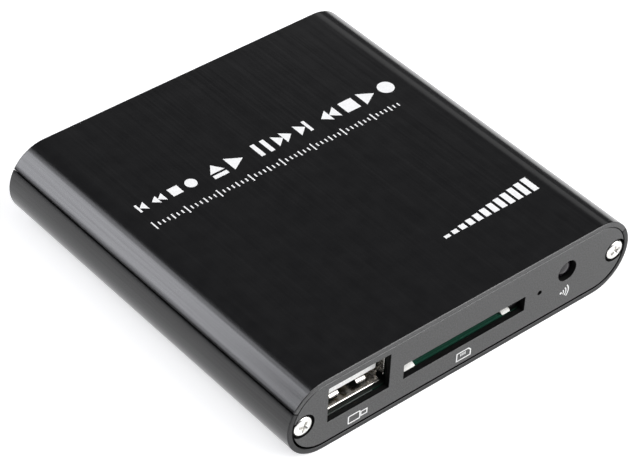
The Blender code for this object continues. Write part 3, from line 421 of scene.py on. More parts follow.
def solder_mask():
    """Green lacquer over copper: the tracks show as paler lines, and the cut edge is bare laminate."""
    material, tree, shader = finish_nodes("solder_mask", (0.018, 0.130, 0.090), 0.32)
    place = tree.nodes.new("ShaderNodeTexCoord")
    tracks = tree.nodes.new("ShaderNodeTexBrick")
    tracks.inputs["Scale"].default_value = 420
    tracks.inputs["Mortar Size"].default_value = 0.035
    tracks.inputs["Brick Width"].default_value = 4.0
    tracks.inputs["Row Height"].default_value = 0.22
    tracks.inputs["Color1"].default_value = (0.009, 0.052, 0.033, 1)
    tracks.inputs["Color2"].default_value = (0.011, 0.060, 0.038, 1)
    tracks.inputs["Mortar"].default_value = (0.016, 0.088, 0.056, 1)
    tree.links.new(place.outputs["Object"], tracks.inputs["Vector"])
    normal = tree.nodes.new("ShaderNodeNewGeometry")
    split = tree.nodes.new("ShaderNodeSeparateXYZ")
    tree.links.new(normal.outputs["Normal"], split.inputs["Vector"])
    upright = tree.nodes.new("ShaderNodeMath")
    upright.operation = "ABSOLUTE"
    tree.links.new(split.outputs["Z"], upright.inputs[0])
    face = tree.nodes.new("ShaderNodeMath")
    face.operation = "GREATER_THAN"
    face.inputs[1].default_value = 0.5
    tree.links.new(upright.outputs[0], face.inputs[0])
    mix = tree.nodes.new("ShaderNodeMix")
    mix.data_type = "RGBA"
    mix.inputs["A"].default_value = (0.012, 0.045, 0.030, 1)
    tree.links.new(face.outputs[0], mix.inputs["Factor"])
    tree.links.new(tracks.outputs["Color"], mix.inputs["B"])
    tree.links.new(mix.outputs["Result"], shader.inputs["Base Color"])
    bumped(tree, shader, tracks.outputs["Fac"], 0.00002)
    return material


def nickel_plate(name="nickel_plate", colour=(0.86, 0.85, 0.83), roughness=0.22):
    """Bright nickel plating with fine scratches and cloudy patches."""
    material, tree, shader = finish_nodes(name, colour, roughness, 1.0)
    cloud = speckle(tree, 1600, 3.0)
    ranged(tree, cloud, roughness - 0.05, roughness + 0.08, shader.inputs["Roughness"])
    mottled(tree, shader, cloud, scaled(colour, 0.88), colour)
    bumped(tree, shader, speckle(tree, 5200, 2.0, (1, 1, 0.2)), 0.000002)
    return material


board_bm = prism(plan(board_low, board_high, 0, BOARD_CORNER), board_low.z, board_high.z, "z")
board = made("board_laminate", board_bm, solder_mask())
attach(board, "case")
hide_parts("circuit_board")

tin = nickel_plate("solder_tin", (0.90, 0.90, 0.89), 0.36)
plated = bmesh.new()
for row, span in VIA_ROWS:
    for step in range(span):
        place = ((step - (span - 1) / 2) * VIA_PITCH, row + VIA_STAGGER * (step % 2))
        root = circle(place, VIA_RADIUS, VIA_STEPS)
        crown = circle(place, VIA_RADIUS * VIA_CROWN_SHARE, VIA_STEPS)
        loft_into(plated, [(board_high.z - PAD_RISE, root), (board_high.z + PAD_RISE, crown)], "z")
vias = made("plated_holes", plated, tin)
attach(vias, "case")

# Chips, regulator and inductor
# Moulded epoxy packages with matt tops and polished orientation dots, soldered to the board by their
# gull-wing legs or by the balls beneath them.

PACKAGE_EDGE = 0.00018
DRAFT_SHARE = 0.06
DOT_RADIUS = 0.00035
DOT_STEPS = 24
LEG_THICKNESS = 0.00016
LEG_WIDTH = 0.0004
LEG_REACH = 0.0010
LEG_OUT_SHARES = (0, 0.25, 0.42, 0.52, 0.62, 0.75, 1.0)
LEG_DOWN_SHARES = (0, 0, 0.08, 0.5, 0.92, 1.0, 1.0)
LEGGED_CHIPS = (("flash_chip", 4, 0.00127, (-1, 1)), ("voltage_regulator", 3, 0.0011, (-1,)))
BALLED_CHIPS = (("memory_chip", 0.0008), ("media_processor", 0.0010))
BALL_RADIUS = 0.00019


def dress(node, finish):
    """Gives a carried-over solid its finish."""
    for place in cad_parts[node].material_slots:
        place.material = finish
    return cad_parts[node]


def moulded(name, colour, roughness):
    """Moulded plastic or epoxy with a fine spark-eroded grain."""
    material, tree, shader = finish_nodes(name, colour, roughness)
    grain = speckle(tree, 4200, 3.0)
    mottled(tree, shader, grain, scaled(colour, 0.86), scaled(colour, 1.12))
    ranged(tree, grain, roughness - 0.06, roughness + 0.06, shader.inputs["Roughness"])
    bumped(tree, shader, grain, 0.000006)
    return material


def strip(route, thickness):
    """The outline of a bent sheet, from the points along its middle."""
    above, below = [], []
    for i, (a, b) in enumerate(route):
        before, after = route[max(i - 1, 0)], route[min(i + 1, len(route) - 1)]
        run, rise = after[0] - before[0], after[1] - before[1]
        length = math.hypot(run, rise)
        over = (-rise / length * thickness / 2, run / length * thickness / 2)
        above.append((a + over[0], b + over[1]))
        below.append((a - over[0], b - over[1]))
    return above + below[::-1]


def package(name, node, finish):
    """A moulded body with drafted sides, a broken top edge and a dot at its first corner."""
    low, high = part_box(node)
    draft = (high.z - low.z) * DRAFT_SHARE
    stages = (
        (low.z, draft), ((low.z + high.z) / 2, 0),
        (high.z - PACKAGE_EDGE, draft), (high.z, draft + PACKAGE_EDGE / 2),
    )
    body = made(name, lofted([(z, plan(low, high, inset, PACKAGE_EDGE)) for z, inset in stages], "z"), finish)
    dot = circle((low.x + 3 * DOT_RADIUS, low.y + 3 * DOT_RADIUS), DOT_RADIUS, DOT_STEPS)
    worked(body, "DIFFERENCE", [prism(dot, high.z - DOT_RADIUS / 3, high.z + OVERRUN, "z")])
    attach(level(body), "case")
    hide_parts(node)


epoxy = moulded("package_epoxy", (0.020, 0.020, 0.021), 0.55)
package("processor_package", "media_processor", epoxy)
package("memory_package", "memory_chip", epoxy)
package("flash_package", "flash_chip", epoxy)
package("regulator_package", "voltage_regulator", epoxy)
package("inductor_core", "power_inductor", moulded("pressed_ferrite", (0.045, 0.044, 0.043), 0.75))


def gull_leg(bm, edge, y, low_z, high_z, side):
    """One leg: out of the body's side, down, and out again along its pad."""
    route = []
    for reach, drop in zip(LEG_OUT_SHARES, LEG_DOWN_SHARES):
        route.append((edge + side * LEG_REACH * reach, high_z + (low_z - high_z) * drop))
    outline = strip(route, LEG_THICKNESS)
    loft_into(bm, [(y - LEG_WIDTH / 2, outline), (y + LEG_WIDTH / 2, outline)], "y")


legs = bmesh.new()
foot = board_high.z + LEG_THICKNESS / 2
for node, count, pitch, sides in LEGGED_CHIPS:
    low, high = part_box(node)
    middle = (low + high) / 2
    for side in sides:
        for step in range(count):
            edge = (high.x if side > 0 else low.x) - side * PACKAGE_EDGE
            gull_leg(legs, edge, middle.y + (step - (count - 1) / 2) * pitch, foot, middle.z, side)
for node, pitch in BALLED_CHIPS:
    low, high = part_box(node)
    rise = low.z - board_high.z
    for x in (low.x + pitch, high.x - pitch):
        for step in range(int((high.y - low.y) / pitch) - 1):
            ball = Vector((x, low.y + pitch * (step + 1), board_high.z + rise / 2))
            turned = Matrix.Translation(ball) @ Matrix.Diagonal((1, 1, rise / 2 / BALL_RADIUS, 1))
            bmesh.ops.create_icosphere(legs, subdivisions=2, radius=BALL_RADIUS, matrix=turned)
chip_legs = made("chip_legs_and_balls", legs, tin)
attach(chip_legs, "case")

# Heat sink, crystal and capacitors
# The heat sink is extruded aluminium, sawn to length and bonded to the processor. The crystal and the
# capacitors are drawn cans: the capacitors are crimped over their rubber bung and stand on resin bases.

CAN_EDGE = 0.00035
CAN_STEPS = 48
CRYSTAL_CORNER = 0.0018
CRYSTAL_STEPS = 8
CRYSTAL_FLANGE = 0.0003
CRYSTAL_FLANGE_HEIGHT = 0.0004
CRIMP_DEPTH = 0.0003
CRIMP_SHARE = 0.30
CRIMP_SPAN_SHARE = 0.16
CRIMP_SHARES = (0.22, 0.26, 0.30, 0.34, 0.38)
VENT_TURNS = (0, 60, 120)
VENT_REACH_SHARE = 0.7
VENT_WIDTH = 0.00018
VENT_DEPTH = 0.00012
BASE_NOTCH = 0.0011
BASE_EDGE = 0.0001


def drawn_aluminium():
    """Bright drawn aluminium with fine upright draw lines."""
    material, tree, shader = finish_nodes("drawn_aluminium", (0.80, 0.80, 0.80), 0.3, 1.0)
    lines = speckle(tree, 5000, 2.0, (1, 1, 0.05))
    ranged(tree, lines, 0.24, 0.40, shader.inputs["Roughness"])
    mottled(tree, shader, lines, (0.70, 0.70, 0.70), (0.86, 0.86, 0.86))
    bumped(tree, shader, lines, 0.000003)
    return material


aluminium = drawn_aluminium()
dress("heat_sink", blasted_grey("heat_sink_grey"))

low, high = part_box("crystal")
flange_z = low.z + CRYSTAL_FLANGE_HEIGHT
rings = []
for z, inset in ((low.z, 0), (flange_z, 0), (flange_z, CRYSTAL_FLANGE)):
    rings.append((z, plan(low, high, inset, CRYSTAL_CORNER, CRYSTAL_STEPS)))
for out, back in reversed(edge_ring(CAN_EDGE)):
    shoulder = plan(low, high, CRYSTAL_FLANGE + out, CRYSTAL_CORNER - out, CRYSTAL_STEPS)
    rings.append((high.z - back, shoulder))
crystal_can = made("crystal_can", lofted(rings, "z"), aluminium)
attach(level(crystal_can), "case")
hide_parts("crystal")

base_resin = moulded("base_resin", (0.022, 0.022, 0.022), 0.5)
for number in (1, 2, 3):
    low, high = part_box(f"capacitor_{number}")
    middle, radius, tall = (low + high) / 2, (high.x - low.x) / 2, high.z - low.z
    profile = [(0, radius - CAN_EDGE / 2), (CAN_EDGE / 3, radius)]
    for share in CRIMP_SHARES:
        bend = math.cos(math.pi * (share - CRIMP_SHARE) / CRIMP_SPAN_SHARE)
        profile.append((share * tall, radius - CRIMP_DEPTH * max(0.0, bend)))
    profile += [(tall - back, radius - out) for out, back in reversed(edge_ring(CAN_EDGE))]
    can_rings = [(low.z + rise, circle((middle.x, middle.y), across, CAN_STEPS)) for rise, across in profile]
    can = made(f"capacitor_can_{number}", lofted(can_rings, "z"), aluminium)
    reach = radius * VENT_REACH_SHARE
    vent_outline = rectangle(-reach, reach, -VENT_WIDTH / 2, VENT_WIDTH / 2)
    vents = []
    for turn in VENT_TURNS:
        vent = prism(vent_outline, high.z - VENT_DEPTH, high.z + OVERRUN, "z")
        vent.transform(Matrix.Rotation(math.radians(turn), 4, "Z"))
        vent.transform(Matrix.Translation((middle.x, middle.y, 0)))
        vents.append(vent)
    worked(can, "DIFFERENCE", vents)
    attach(level(can), "case")
    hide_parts(f"capacitor_{number}")
    low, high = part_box(f"capacitor_{number}_base")
    stages = ((low.z, 0), (high.z - BASE_EDGE, 0), (high.z, BASE_EDGE))
    rings = [(z, plan(low, high, inset, BASE_NOTCH, 1)) for z, inset in stages]
    base = made(f"capacitor_foot_{number}", lofted(rings, "z"), base_resin)
    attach(base, "case")
    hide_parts(f"capacitor_{number}_base")

# Data port
# A shell folded from nickel-plated sheet, with a flared mouth and two springs cut from its floor, round a
# white moulded insulator with four gold-plated contacts under its tongue. A near-black sheet laid on the
# board in front of the shell is painted shade, and a bright strip on the board's edge is a painted highlight.

SHELL_WALL = 0.00035
SHELL_CORNER = 0.0008
FLARE_OUTSIDE = ((0.00006, 0.00144), (0.00025, 0.00128), (0.0012, 0.00094), (0.0036, 0.0))
FLARE_INSIDE = (
    (0.0, 0.00122), (0.00008, 0.00104), (0.00018, 0.00094), (0.0012, 0.00054), (0.0036, -SHELL_WALL),
)
MOUTH_LIP = 0.00006
FLOOR_BEND = 0.00050
RELIEF_INSET = -0.0001
RELIEF_RISE = 0.00145
RELIEF_DROP = 0.0009
RELIEF_DEPTH = 0.0012
RELIEF_CORNER = 0.0002
SPRING_X = 0.0030
SPRING_WIDTH = 0.0020
SPRING_SLOT = 0.00022
SPRING_SHEET = 0.0003
SPRING_ROOT_BACK = 0.0083
SPRING_CREST_BACK = 0.0017
SPRING_CREST_RISE = 0.0016
SPRING_TIP_RADIUS = 0.0010
SPRING_TIP_TURN = 68
SPRING_TIP_STEPS = 7
SPRING_OVERHANG = 0.00065
SPRING_STEPS = 10
TONGUE_EDGE = 0.00022
TONGUE_CORNER = 0.0003
TONGUE_HALF = 0.00592
TONGUE_RISE = 0.0031
TONGUE_THICKNESS = 0.00184
TONGUE_SETBACK = 0.00035
BLOCK_LENGTH = 0.0042
BLOCK_CORNER = 0.0004
CONTACT_OFFSETS = (-0.0035, -0.0010, 0.0010, 0.0035)
CONTACT_WIDTH = 0.0010
CONTACT_SHEET = 0.0002
CONTACT_BOW = 0.0004
CONTACT_LENGTH = 0.0068
CONTACT_SETBACK = 0.0010
CONTACT_STEPS = 12
# Painted shade: a near-black sheet on the board in front of the port, and a patch beside the card slot.
SHADE_SHEET_HALF = 0.0085
SHADE_SHEET_FRONT = -0.03846
SHADE_SHEET_THICKNESS = 0.00005
SHADE_PATCH_SPAN = (0.01242, 0.0152)
SHADE_PATCH_BACK = -0.0369
# Painted highlight: a bright strip along the top of the board's cut edge under the port.
EDGE_HIGHLIGHT_SPAN = (-0.0056, 0.0044)
EDGE_HIGHLIGHT_HEIGHT = 0.00034
EDGE_HIGHLIGHT_THICKNESS = 0.00004

shell_low, shell_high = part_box("port_shell")
insulator_low, insulator_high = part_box("port_insulator")
port_x = (shell_low.x + shell_high.x) / 2
port_half = insulator_high.x - port_x + SHELL_WALL
port_top = insulator_high.z + SHELL_WALL
mouth_y = shell_low.y


def shell_ring(y, grow, rise):
    """The shell's outline at one depth. Its underside lies on the board, so only the top and sides flare."""
    left, right = port_x - port_half - grow, port_x + port_half + grow
    return y, rounded(left, right, shell_low.z + rise, port_top + grow, SHELL_CORNER + max(grow, 0) / 2)


outer = [shell_ring(mouth_y, FLARE_OUTSIDE[0][1] - MOUTH_LIP, MOUTH_LIP / 2)]
outer += [shell_ring(mouth_y + back, grow, 0) for back, grow in FLARE_OUTSIDE]
outer.append(shell_ring(shell_high.y, 0, 0))
inner = [shell_ring(mouth_y - OVERRUN, FLARE_INSIDE[0][1], MOUTH_LIP)]
for back, grow in FLARE_INSIDE:
    bend = math.sin(math.pi / 2 * min(1, back / FLOOR_BEND))
    inner.append(shell_ring(mouth_y + back, grow, MOUTH_LIP + (SHELL_WALL - MOUTH_LIP) * bend))
inner.append(shell_ring(shell_high.y + OVERRUN, -SHELL_WALL, SHELL_WALL))
port_metal = nickel_plate("port_nickel", (0.64, 0.62, 0.59), 0.2)
port_shell = made("data_port_shell", lofted(outer), port_metal)
reliefs = []
relief_reach = OVERRUN / 2 + RELIEF_INSET
relief_heights = (
    (shell_low.z - OVERRUN, shell_low.z + RELIEF_RISE),
    (port_top - RELIEF_DROP, port_top + 2 * OVERRUN),
)
for x in (port_x - port_half - OVERRUN / 2, port_x + port_half + OVERRUN / 2):
    for low, high in relief_heights:
        notch = rounded(x - relief_reach, x + relief_reach, low, high, RELIEF_CORNER)
        reliefs.append(prism(notch, mouth_y - OVERRUN, mouth_y + RELIEF_DEPTH))
worked(port_shell, "DIFFERENCE", [lofted(inner)] + reliefs)
floor_z = shell_low.z + SHELL_WALL
crest_y = mouth_y + SPRING_CREST_BACK
root_y = mouth_y + SPRING_ROOT_BACK
spring_route = []
for step in range(SPRING_STEPS):
    share = step / SPRING_STEPS
    rise = (SPRING_CREST_RISE + SPRING_SHEET / 2) * (1 - math.cos(math.pi * share)) / 2
    spring_route.append((root_y + (crest_y - root_y) * share, floor_z - SPRING_SHEET / 2 + rise))
tip_centre = (crest_y, floor_z + SPRING_CREST_RISE - SPRING_TIP_RADIUS)
spring_route += arc(tip_centre, SPRING_TIP_RADIUS, 90, 90 + SPRING_TIP_TURN, SPRING_TIP_STEPS)
spring_outline = strip(spring_route, SPRING_SHEET)
windows, springs = [], []
for x in (port_x - SPRING_X, port_x + SPRING_X):
    across = SPRING_WIDTH / 2 + SPRING_SLOT
    near_y, far_y = crest_y - SPRING_OVERHANG, root_y - SPRING_SHEET
    window_outline = rounded(x - across, x + across, near_y, far_y, SPRING_SLOT)
    windows.append(prism(window_outline, shell_low.z - OVERRUN, floor_z + SHELL_WALL / 2, "z"))
    springs.append(prism(spring_outline, x - SPRING_WIDTH / 2, x + SPRING_WIDTH / 2, "x"))
worked(port_shell, "DIFFERENCE", windows)
worked(port_shell, "UNION", springs)
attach(level(port_shell), "case")
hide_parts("port_shell")

# A near-black sheet on the board round the port, and a patch of it beside the card socket's right anchor:
# painted shade.
shade_sheet_outline = rounded(port_x - SHADE_SHEET_HALF, port_x + SHADE_SHEET_HALF, SHADE_SHEET_FRONT, shell_high.y, SHELL_CORNER)
shade_sheet_low = board_high.z + SHADE_SHEET_THICKNESS / 5
shade_sheet_bm = prism(shade_sheet_outline, shade_sheet_low, shade_sheet_low + SHADE_SHEET_THICKNESS, "z")
shade_patch_outline = rounded(SHADE_PATCH_SPAN[0], SHADE_PATCH_SPAN[1], SHADE_SHEET_FRONT, SHADE_PATCH_BACK, SHADE_SHEET_THICKNESS)
loft_into(shade_sheet_bm, [(shade_sheet_low, shade_patch_outline), (shade_sheet_low + SHADE_SHEET_THICKNESS, shade_patch_outline)], "z")
ink_film_and_shade_sheet = made("port_painted_shade_sheet", shade_sheet_bm, moulded("painted_shade_black", (0.005, 0.007, 0.006), 0.5))
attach(ink_film_and_shade_sheet, "case")
# A bright tinned strip on the upper part of the board's cut edge under the port: painted highlight for the
# lit band of the edge.
edge_outline = rounded(
    port_x + EDGE_HIGHLIGHT_SPAN[0], port_x + EDGE_HIGHLIGHT_SPAN[1],
    board_high.z - EDGE_HIGHLIGHT_HEIGHT, board_high.z - EDGE_HIGHLIGHT_THICKNESS, EDGE_HIGHLIGHT_THICKNESS,
)
edge_highlight = made("board_edge_painted_highlight", prism(edge_outline, board_low.y - EDGE_HIGHLIGHT_THICKNESS, board_low.y), tin)
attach(edge_highlight, "case")

white_resin = moulded("white_resin", (0.94, 0.93, 0.90), 0.38)
block_front = insulator_high.y - BLOCK_LENGTH
body_outline = rounded(insulator_low.x, insulator_high.x, insulator_low.z, insulator_high.z, BLOCK_CORNER)
insulator = made("data_port_insulator", prism(body_outline, block_front, insulator_high.y), white_resin)
tongue_low = shell_low.z + TONGUE_RISE
tongue_y = mouth_y + TONGUE_SETBACK
tongue_rings = []
for out, back in edge_ring(TONGUE_EDGE):
    outline = rounded(
        port_x - TONGUE_HALF + out, port_x + TONGUE_HALF - out,
        tongue_low + out, tongue_low + TONGUE_THICKNESS - out, TONGUE_CORNER,
    )
    tongue_rings.append((tongue_y + back, outline))
tongue_rings.append((block_front + BLOCK_LENGTH / 2, tongue_rings[-1][1]))
worked(insulator, "UNION", [lofted(tongue_rings)])
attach(level(insulator), "case")
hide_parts("port_insulator")


def gold_plate():
    """Thin gold over nickel, a little worn where contacts slide."""
    material, tree, shader = finish_nodes("gold_plate", (0.83, 0.60, 0.24), 0.22, 1.0)
    worn = speckle(tree, 2600, 4.0)
    mottled(tree, shader, worn, (0.74, 0.56, 0.30), (0.87, 0.63, 0.24))
    ranged(tree, worn, 0.16, 0.32, shader.inputs["Roughness"])
    return material


gold = gold_plate()
contact_route = []
for step in range(CONTACT_STEPS + 1):
    share = step / CONTACT_STEPS
    bow = CONTACT_BOW * math.sin(math.pi * share) ** 2
    place = tongue_y + CONTACT_SETBACK + CONTACT_LENGTH * share
    contact_route.append((place, tongue_low - CONTACT_SHEET / 4 - bow))
contact_outline = strip(contact_route, CONTACT_SHEET)
for number, offset in enumerate(CONTACT_OFFSETS, 1):
    left = port_x + offset - CONTACT_WIDTH / 2
    contact = made(f"data_contact_{number}", prism(contact_outline, left, left + CONTACT_WIDTH, "x"), gold)
    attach(contact, "case")
    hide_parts(f"port_contact_{number}")

# Card socket
# A black moulded frame soldered to the board by tinned anchors, under a stamped metal shield. Nine sprung
# contacts meet the card, and a slider with its spring and latch pin holds the card and pushes it out.

COIL_WIRE_RADIUS = 0.00012
COIL_WIRE_SIDES = 10
COIL_TURNS = 9
COIL_STEPS = 24
CLOSE_PITCH = 0.00027
ANCHOR_EDGE = 0.00012
ANCHOR_FRONTS = (-0.03864, -0.03846)
ANCHOR_BACK = -0.03706
ANCHOR_SPANS = ((-0.0129, -0.01035), (0.0104, 0.01235))
ANCHOR_TOE = 0.00010
ANCHOR_RISE = 0.0008
ANCHOR_BOW = 0.8
ANCHOR_END_SHARES = (0.9, 0.85)
ANCHOR_STEPS = 8
ANCHOR_SMOOTH_ANGLE = 50

black_resin = moulded("black_resin", (0.012, 0.012, 0.013), 0.42)
dress("card_socket_frame", black_resin)
dress("card_socket_shield", nickel_plate("shield_nickel", (0.80, 0.79, 0.77), 0.28))
for number in range(1, 10):
    dress(f"card_contact_{number}", gold)
dress("card_slider", moulded("slider_resin", (0.30, 0.28, 0.25), 0.45))
spring_steel = nickel_plate("spring_steel", (0.62, 0.61, 0.60), 0.24)
dress("latch_pin", spring_steel)
coil_low, coil_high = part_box("slider_spring")
coil_centre = centre("slider_spring")
coil_radius = (coil_high.x - coil_low.x) / 2 - COIL_WIRE_RADIUS
coil_length = coil_high.y - coil_low.y
open_pitch = (coil_length - 2 * COIL_WIRE_RADIUS - 2 * CLOSE_PITCH) / (COIL_TURNS - 2)


def coil_ring(turned):
    """The wire's round section after so many turns. The first and the last turn are wound close."""
    closed = min(turned, 1) + max(turned - COIL_TURNS + 1, 0)
    along = coil_low.y + COIL_WIRE_RADIUS + CLOSE_PITCH * closed + open_pitch * (turned - closed)
    angle = 2 * math.pi * turned
    ring = []
    for out, on in circle((0, 0), COIL_WIRE_RADIUS, COIL_WIRE_SIDES):
        aside, up = (coil_radius + out) * math.cos(angle), (coil_radius + out) * math.sin(angle)
        ring.append((coil_centre.x + aside, along + on, coil_centre.z + up))
    return ring


coil_bm = bmesh.new()
coil_rings = []
for step in range(COIL_TURNS * COIL_STEPS + 1):
    coil_rings.append([coil_bm.verts.new(point) for point in coil_ring(step / COIL_STEPS)])
banded(coil_bm, coil_rings[:-1], coil_rings[1:])
coil_bm.faces.new(coil_rings[0])
coil_bm.faces.new(coil_rings[-1])
spring = made("return_spring", coil_bm, spring_steel)
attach(spring, "case")
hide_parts("slider_spring")
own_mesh(spring)


def solder_painted_reflection():
    """Solder frozen dull and slightly uneven, with no mirror in it, in a near-white that is a painted
    reflection of the bright front.
    """
    material, tree, shader = finish_nodes("solder_painted_reflection", (0.96, 0.95, 0.92), 0.45)
    ranged(tree, speckle(tree, 2400, 3.0), 0.34, 0.52, shader.inputs["Roughness"])
    bumped(tree, shader, speckle(tree, 1500, 2.0), 0.00001)
    return material


# The anchors' solder is near-white: real solder, with a painted reflection in its colour.
solder = solder_painted_reflection()
for side, front, (left, right) in zip(("left", "right"), ANCHOR_FRONTS, ANCHOR_SPANS):
    foot = board_high.z + ANCHOR_TOE / 10
    fillet = [(ANCHOR_BACK, foot), (front, foot)]
    for step in range(ANCHOR_STEPS + 1):
        share = step / ANCHOR_STEPS
        rise = ANCHOR_TOE + ANCHOR_RISE * share ** ANCHOR_BOW
        fillet.append((front + (ANCHOR_BACK - front) * share, foot + rise))
    middle_y, middle_z = (front + ANCHOR_BACK) / 2, foot + ANCHOR_TOE
    along, up = ANCHOR_END_SHARES
    end = [(middle_y + (y - middle_y) * along, middle_z + (z - middle_z) * up) for y, z in fillet]
    rings = [(left, end), (left + ANCHOR_EDGE, fillet), (right - ANCHOR_EDGE, fillet), (right, end)]
    anchor = made(f"anchor_solder_{side}", lofted(rings, "x"), solder, smooth=ANCHOR_SMOOTH_ANGLE)
    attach(anchor, "case")
    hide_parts(f"socket_anchor_{side}")

# Status light and remote receiver
# The light is a small clear lamp lying behind its pinhole. The receiver is a block of dark resin that lets
# only infrared through, moulded with a round lens that looks out of the panel's larger hole.

LENS_RADIUS = 0.0019
LENS_RISE = 0.0011
RECEIVER_EDGE = 0.00025
RECEIVER_AXIS_RISE = 0.0040
DOME_STEPS = 12
LENS_STEPS = 64


def clear_resin():
    """Water-clear cast resin."""
    material, tree, shader = finish_nodes("clear_resin", (0.72, 0.78, 0.84), 0.12)
    shader.inputs["Transmission Weight"].default_value = 0.6
    ranged(tree, speckle(tree, 1800, 2.0), 0.08, 0.18, shader.inputs["Roughness"])
    return material


def dark_lens():
    """Near-black resin with a polished skin."""
    material, tree, shader = finish_nodes("dark_lens", (0.010, 0.008, 0.011), 0.1)
    haze = speckle(tree, 1500, 2.0)
    ranged(tree, haze, 0.07, 0.16, shader.inputs["Roughness"])
    mottled(tree, shader, haze, (0.008, 0.006, 0.009), (0.013, 0.010, 0.014))
    return material


dress("status_light", clear_resin())
for node in ("light_lead_left", "light_lead_right", "receiver_lead_1", "receiver_lead_2", "receiver_lead_3"):
    dress(node, tin)
low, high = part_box("remote_receiver")
receiver_x, receiver_z = (low.x + high.x) / 2, board_high.z + RECEIVER_AXIS_RISE
face_y = low.y + LENS_RISE
body_rings = []
for out, back in edge_ring(RECEIVER_EDGE):
    outline = rounded(low.x + out, high.x - out, low.z + out, high.z - out, RECEIVER_EDGE)
    body_rings.append((face_y + back, outline))
body_rings.append((high.y, body_rings[-1][1]))
receiver = made("receiver_block", lofted(body_rings), dark_lens())
dome = []
for step in range(1, DOME_STEPS + 1):
    angle = math.radians(90 - 90 * step / DOME_STEPS)
    outline = circle((receiver_x, receiver_z), LENS_RADIUS * math.cos(angle), LENS_STEPS)
    dome.append((face_y - LENS_RISE * math.sin(angle), outline))
dome.append((face_y + RECEIVER_EDGE * 2, dome[-1][1]))
worked(receiver, "UNION", [lofted(dome)])
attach(level(receiver), "case")
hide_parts("remote_receiver")

# Rear sockets
# The video socket is a folded shell with slanted lower corners round a black insulator. The sound and
# picture jack and the power jack are moulded blocks, each with its metal parts pressed in.

VIDEO_WALL = 0.00035
VIDEO_KNEE_RISE = 0.0020
VIDEO_KNEE_INSET = 0.0021
VIDEO_BEND = 0.0005
VIDEO_LIP = 0.0002
VIDEO_CONTACTS = 10
VIDEO_CONTACT_PITCH = 0.0010
VIDEO_CONTACT_WIDTH = 0.00045
VIDEO_CONTACT_SHEET = 0.00006
VIDEO_CONTACT_DEPTHS = (0.0070, 0.0012)
VIDEO_TONGUE_RISE = 0.0029
VIDEO_TONGUE_HALF = 0.00062
COLLAR_EDGE = 0.00025
JACK_BORE_RADIUS = 0.0018
SOCKET_STEPS = 64
PIN_STEPS = 32
PIN_TIP_STEPS = 6
PIN_TIP_SHARE = 0.04


def softened(outline, bend, steps=5):
    """An outline with each corner replaced by a short curve."""
    points = []
    for i, corner in enumerate(outline):
        before, after = outline[i - 1], outline[(i + 1) % len(outline)]
        ends = []
        for other in (before, after):
            run, rise = other[0] - corner[0], other[1] - corner[1]
            reach = min(bend, math.hypot(run, rise) / 2) / math.hypot(run, rise)
            ends.append((corner[0] + run * reach, corner[1] + rise * reach))
        for step in range(steps + 1):
            t = step / steps
            weights = ((1 - t) ** 2, 2 * t * (1 - t), t ** 2)
            spots = (ends[0], corner, ends[1])
            points.append(tuple(sum(w * spot[axis] for w, spot in zip(weights, spots)) for axis in (0, 1)))
    return points


video_low, video_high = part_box("video_socket_shell")


def video_mouth(grow):
    """The video socket's section: a flat top, upright sides and slanted lower corners."""
    left, right = video_low.x - grow, video_high.x + grow
    knee = video_low.z + VIDEO_KNEE_RISE
    return [
        (left + VIDEO_KNEE_INSET, video_low.z - grow), (right - VIDEO_KNEE_INSET, video_low.z - grow),
        (right, knee), (right, video_high.z + grow), (left, video_high.z + grow), (left, knee),
    ]


video_outer = [(video_low.y, softened(video_mouth(0), VIDEO_BEND))]
video_outer.append((video_high.y - VIDEO_LIP / 2, softened(video_mouth(0), VIDEO_BEND)))
video_outer.append((video_high.y, softened(video_mouth(-VIDEO_LIP / 2), VIDEO_BEND)))
video_inner = [
    (video_low.y - OVERRUN, softened(video_mouth(-VIDEO_WALL), VIDEO_BEND)),
    (video_high.y - VIDEO_LIP, softened(video_mouth(-VIDEO_WALL), VIDEO_BEND)),
    (video_high.y, softened(video_mouth(-VIDEO_WALL + VIDEO_LIP / 2), VIDEO_BEND)),
    (video_high.y + OVERRUN, softened(video_mouth(-VIDEO_WALL + VIDEO_LIP / 2), VIDEO_BEND)),
]
video_shell = made("video_socket_can", lofted(video_outer), port_metal)
worked(video_shell, "DIFFERENCE", [lofted(video_inner)])
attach(level(video_shell), "case")
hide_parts("video_socket_shell")
dress("video_socket_insulator", black_resin)
pins = bmesh.new()
wide, thin = VIDEO_CONTACT_WIDTH / 2, VIDEO_CONTACT_SHEET / 2
for rise in (-VIDEO_TONGUE_HALF, VIDEO_TONGUE_HALF):
    z = video_low.z + VIDEO_TONGUE_RISE + rise
    for step in range(VIDEO_CONTACTS):
        x = centre("video_socket_shell").x + (step - (VIDEO_CONTACTS - 1) / 2) * VIDEO_CONTACT_PITCH
        pad = rectangle(x - wide, x + wide, z - thin, z + thin)
        loft_into(pins, [(video_high.y - depth, pad) for depth in VIDEO_CONTACT_DEPTHS], "y")
video_pins = made("video_socket_contacts", pins, gold)
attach(video_pins, "case")

dress("av_jack_body", black_resin)
low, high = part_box("av_jack_collar")
middle, radius = (low + high) / 2, (high.x - low.x) / 2
collar_rings = [(low.y, circle((middle.x, middle.z), radius, SOCKET_STEPS))]
for out, back in reversed(edge_ring(COLLAR_EDGE)):
    collar_rings.append((high.y - back, circle((middle.x, middle.z), radius - out, SOCKET_STEPS)))
bore_rings = [(low.y - OVERRUN, circle((middle.x, middle.z), JACK_BORE_RADIUS, SOCKET_STEPS))]
for out, back in reversed(edge_ring(COLLAR_EDGE)):
    bore_rings.append((high.y - back, circle((middle.x, middle.z), JACK_BORE_RADIUS + out, SOCKET_STEPS)))
bore_rings.append((high.y + OVERRUN, bore_rings[-1][1]))
collar = made("jack_collar", lofted(collar_rings), port_metal)
worked(collar, "DIFFERENCE", [lofted(bore_rings)])
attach(level(collar), "case")
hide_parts("av_jack_collar")

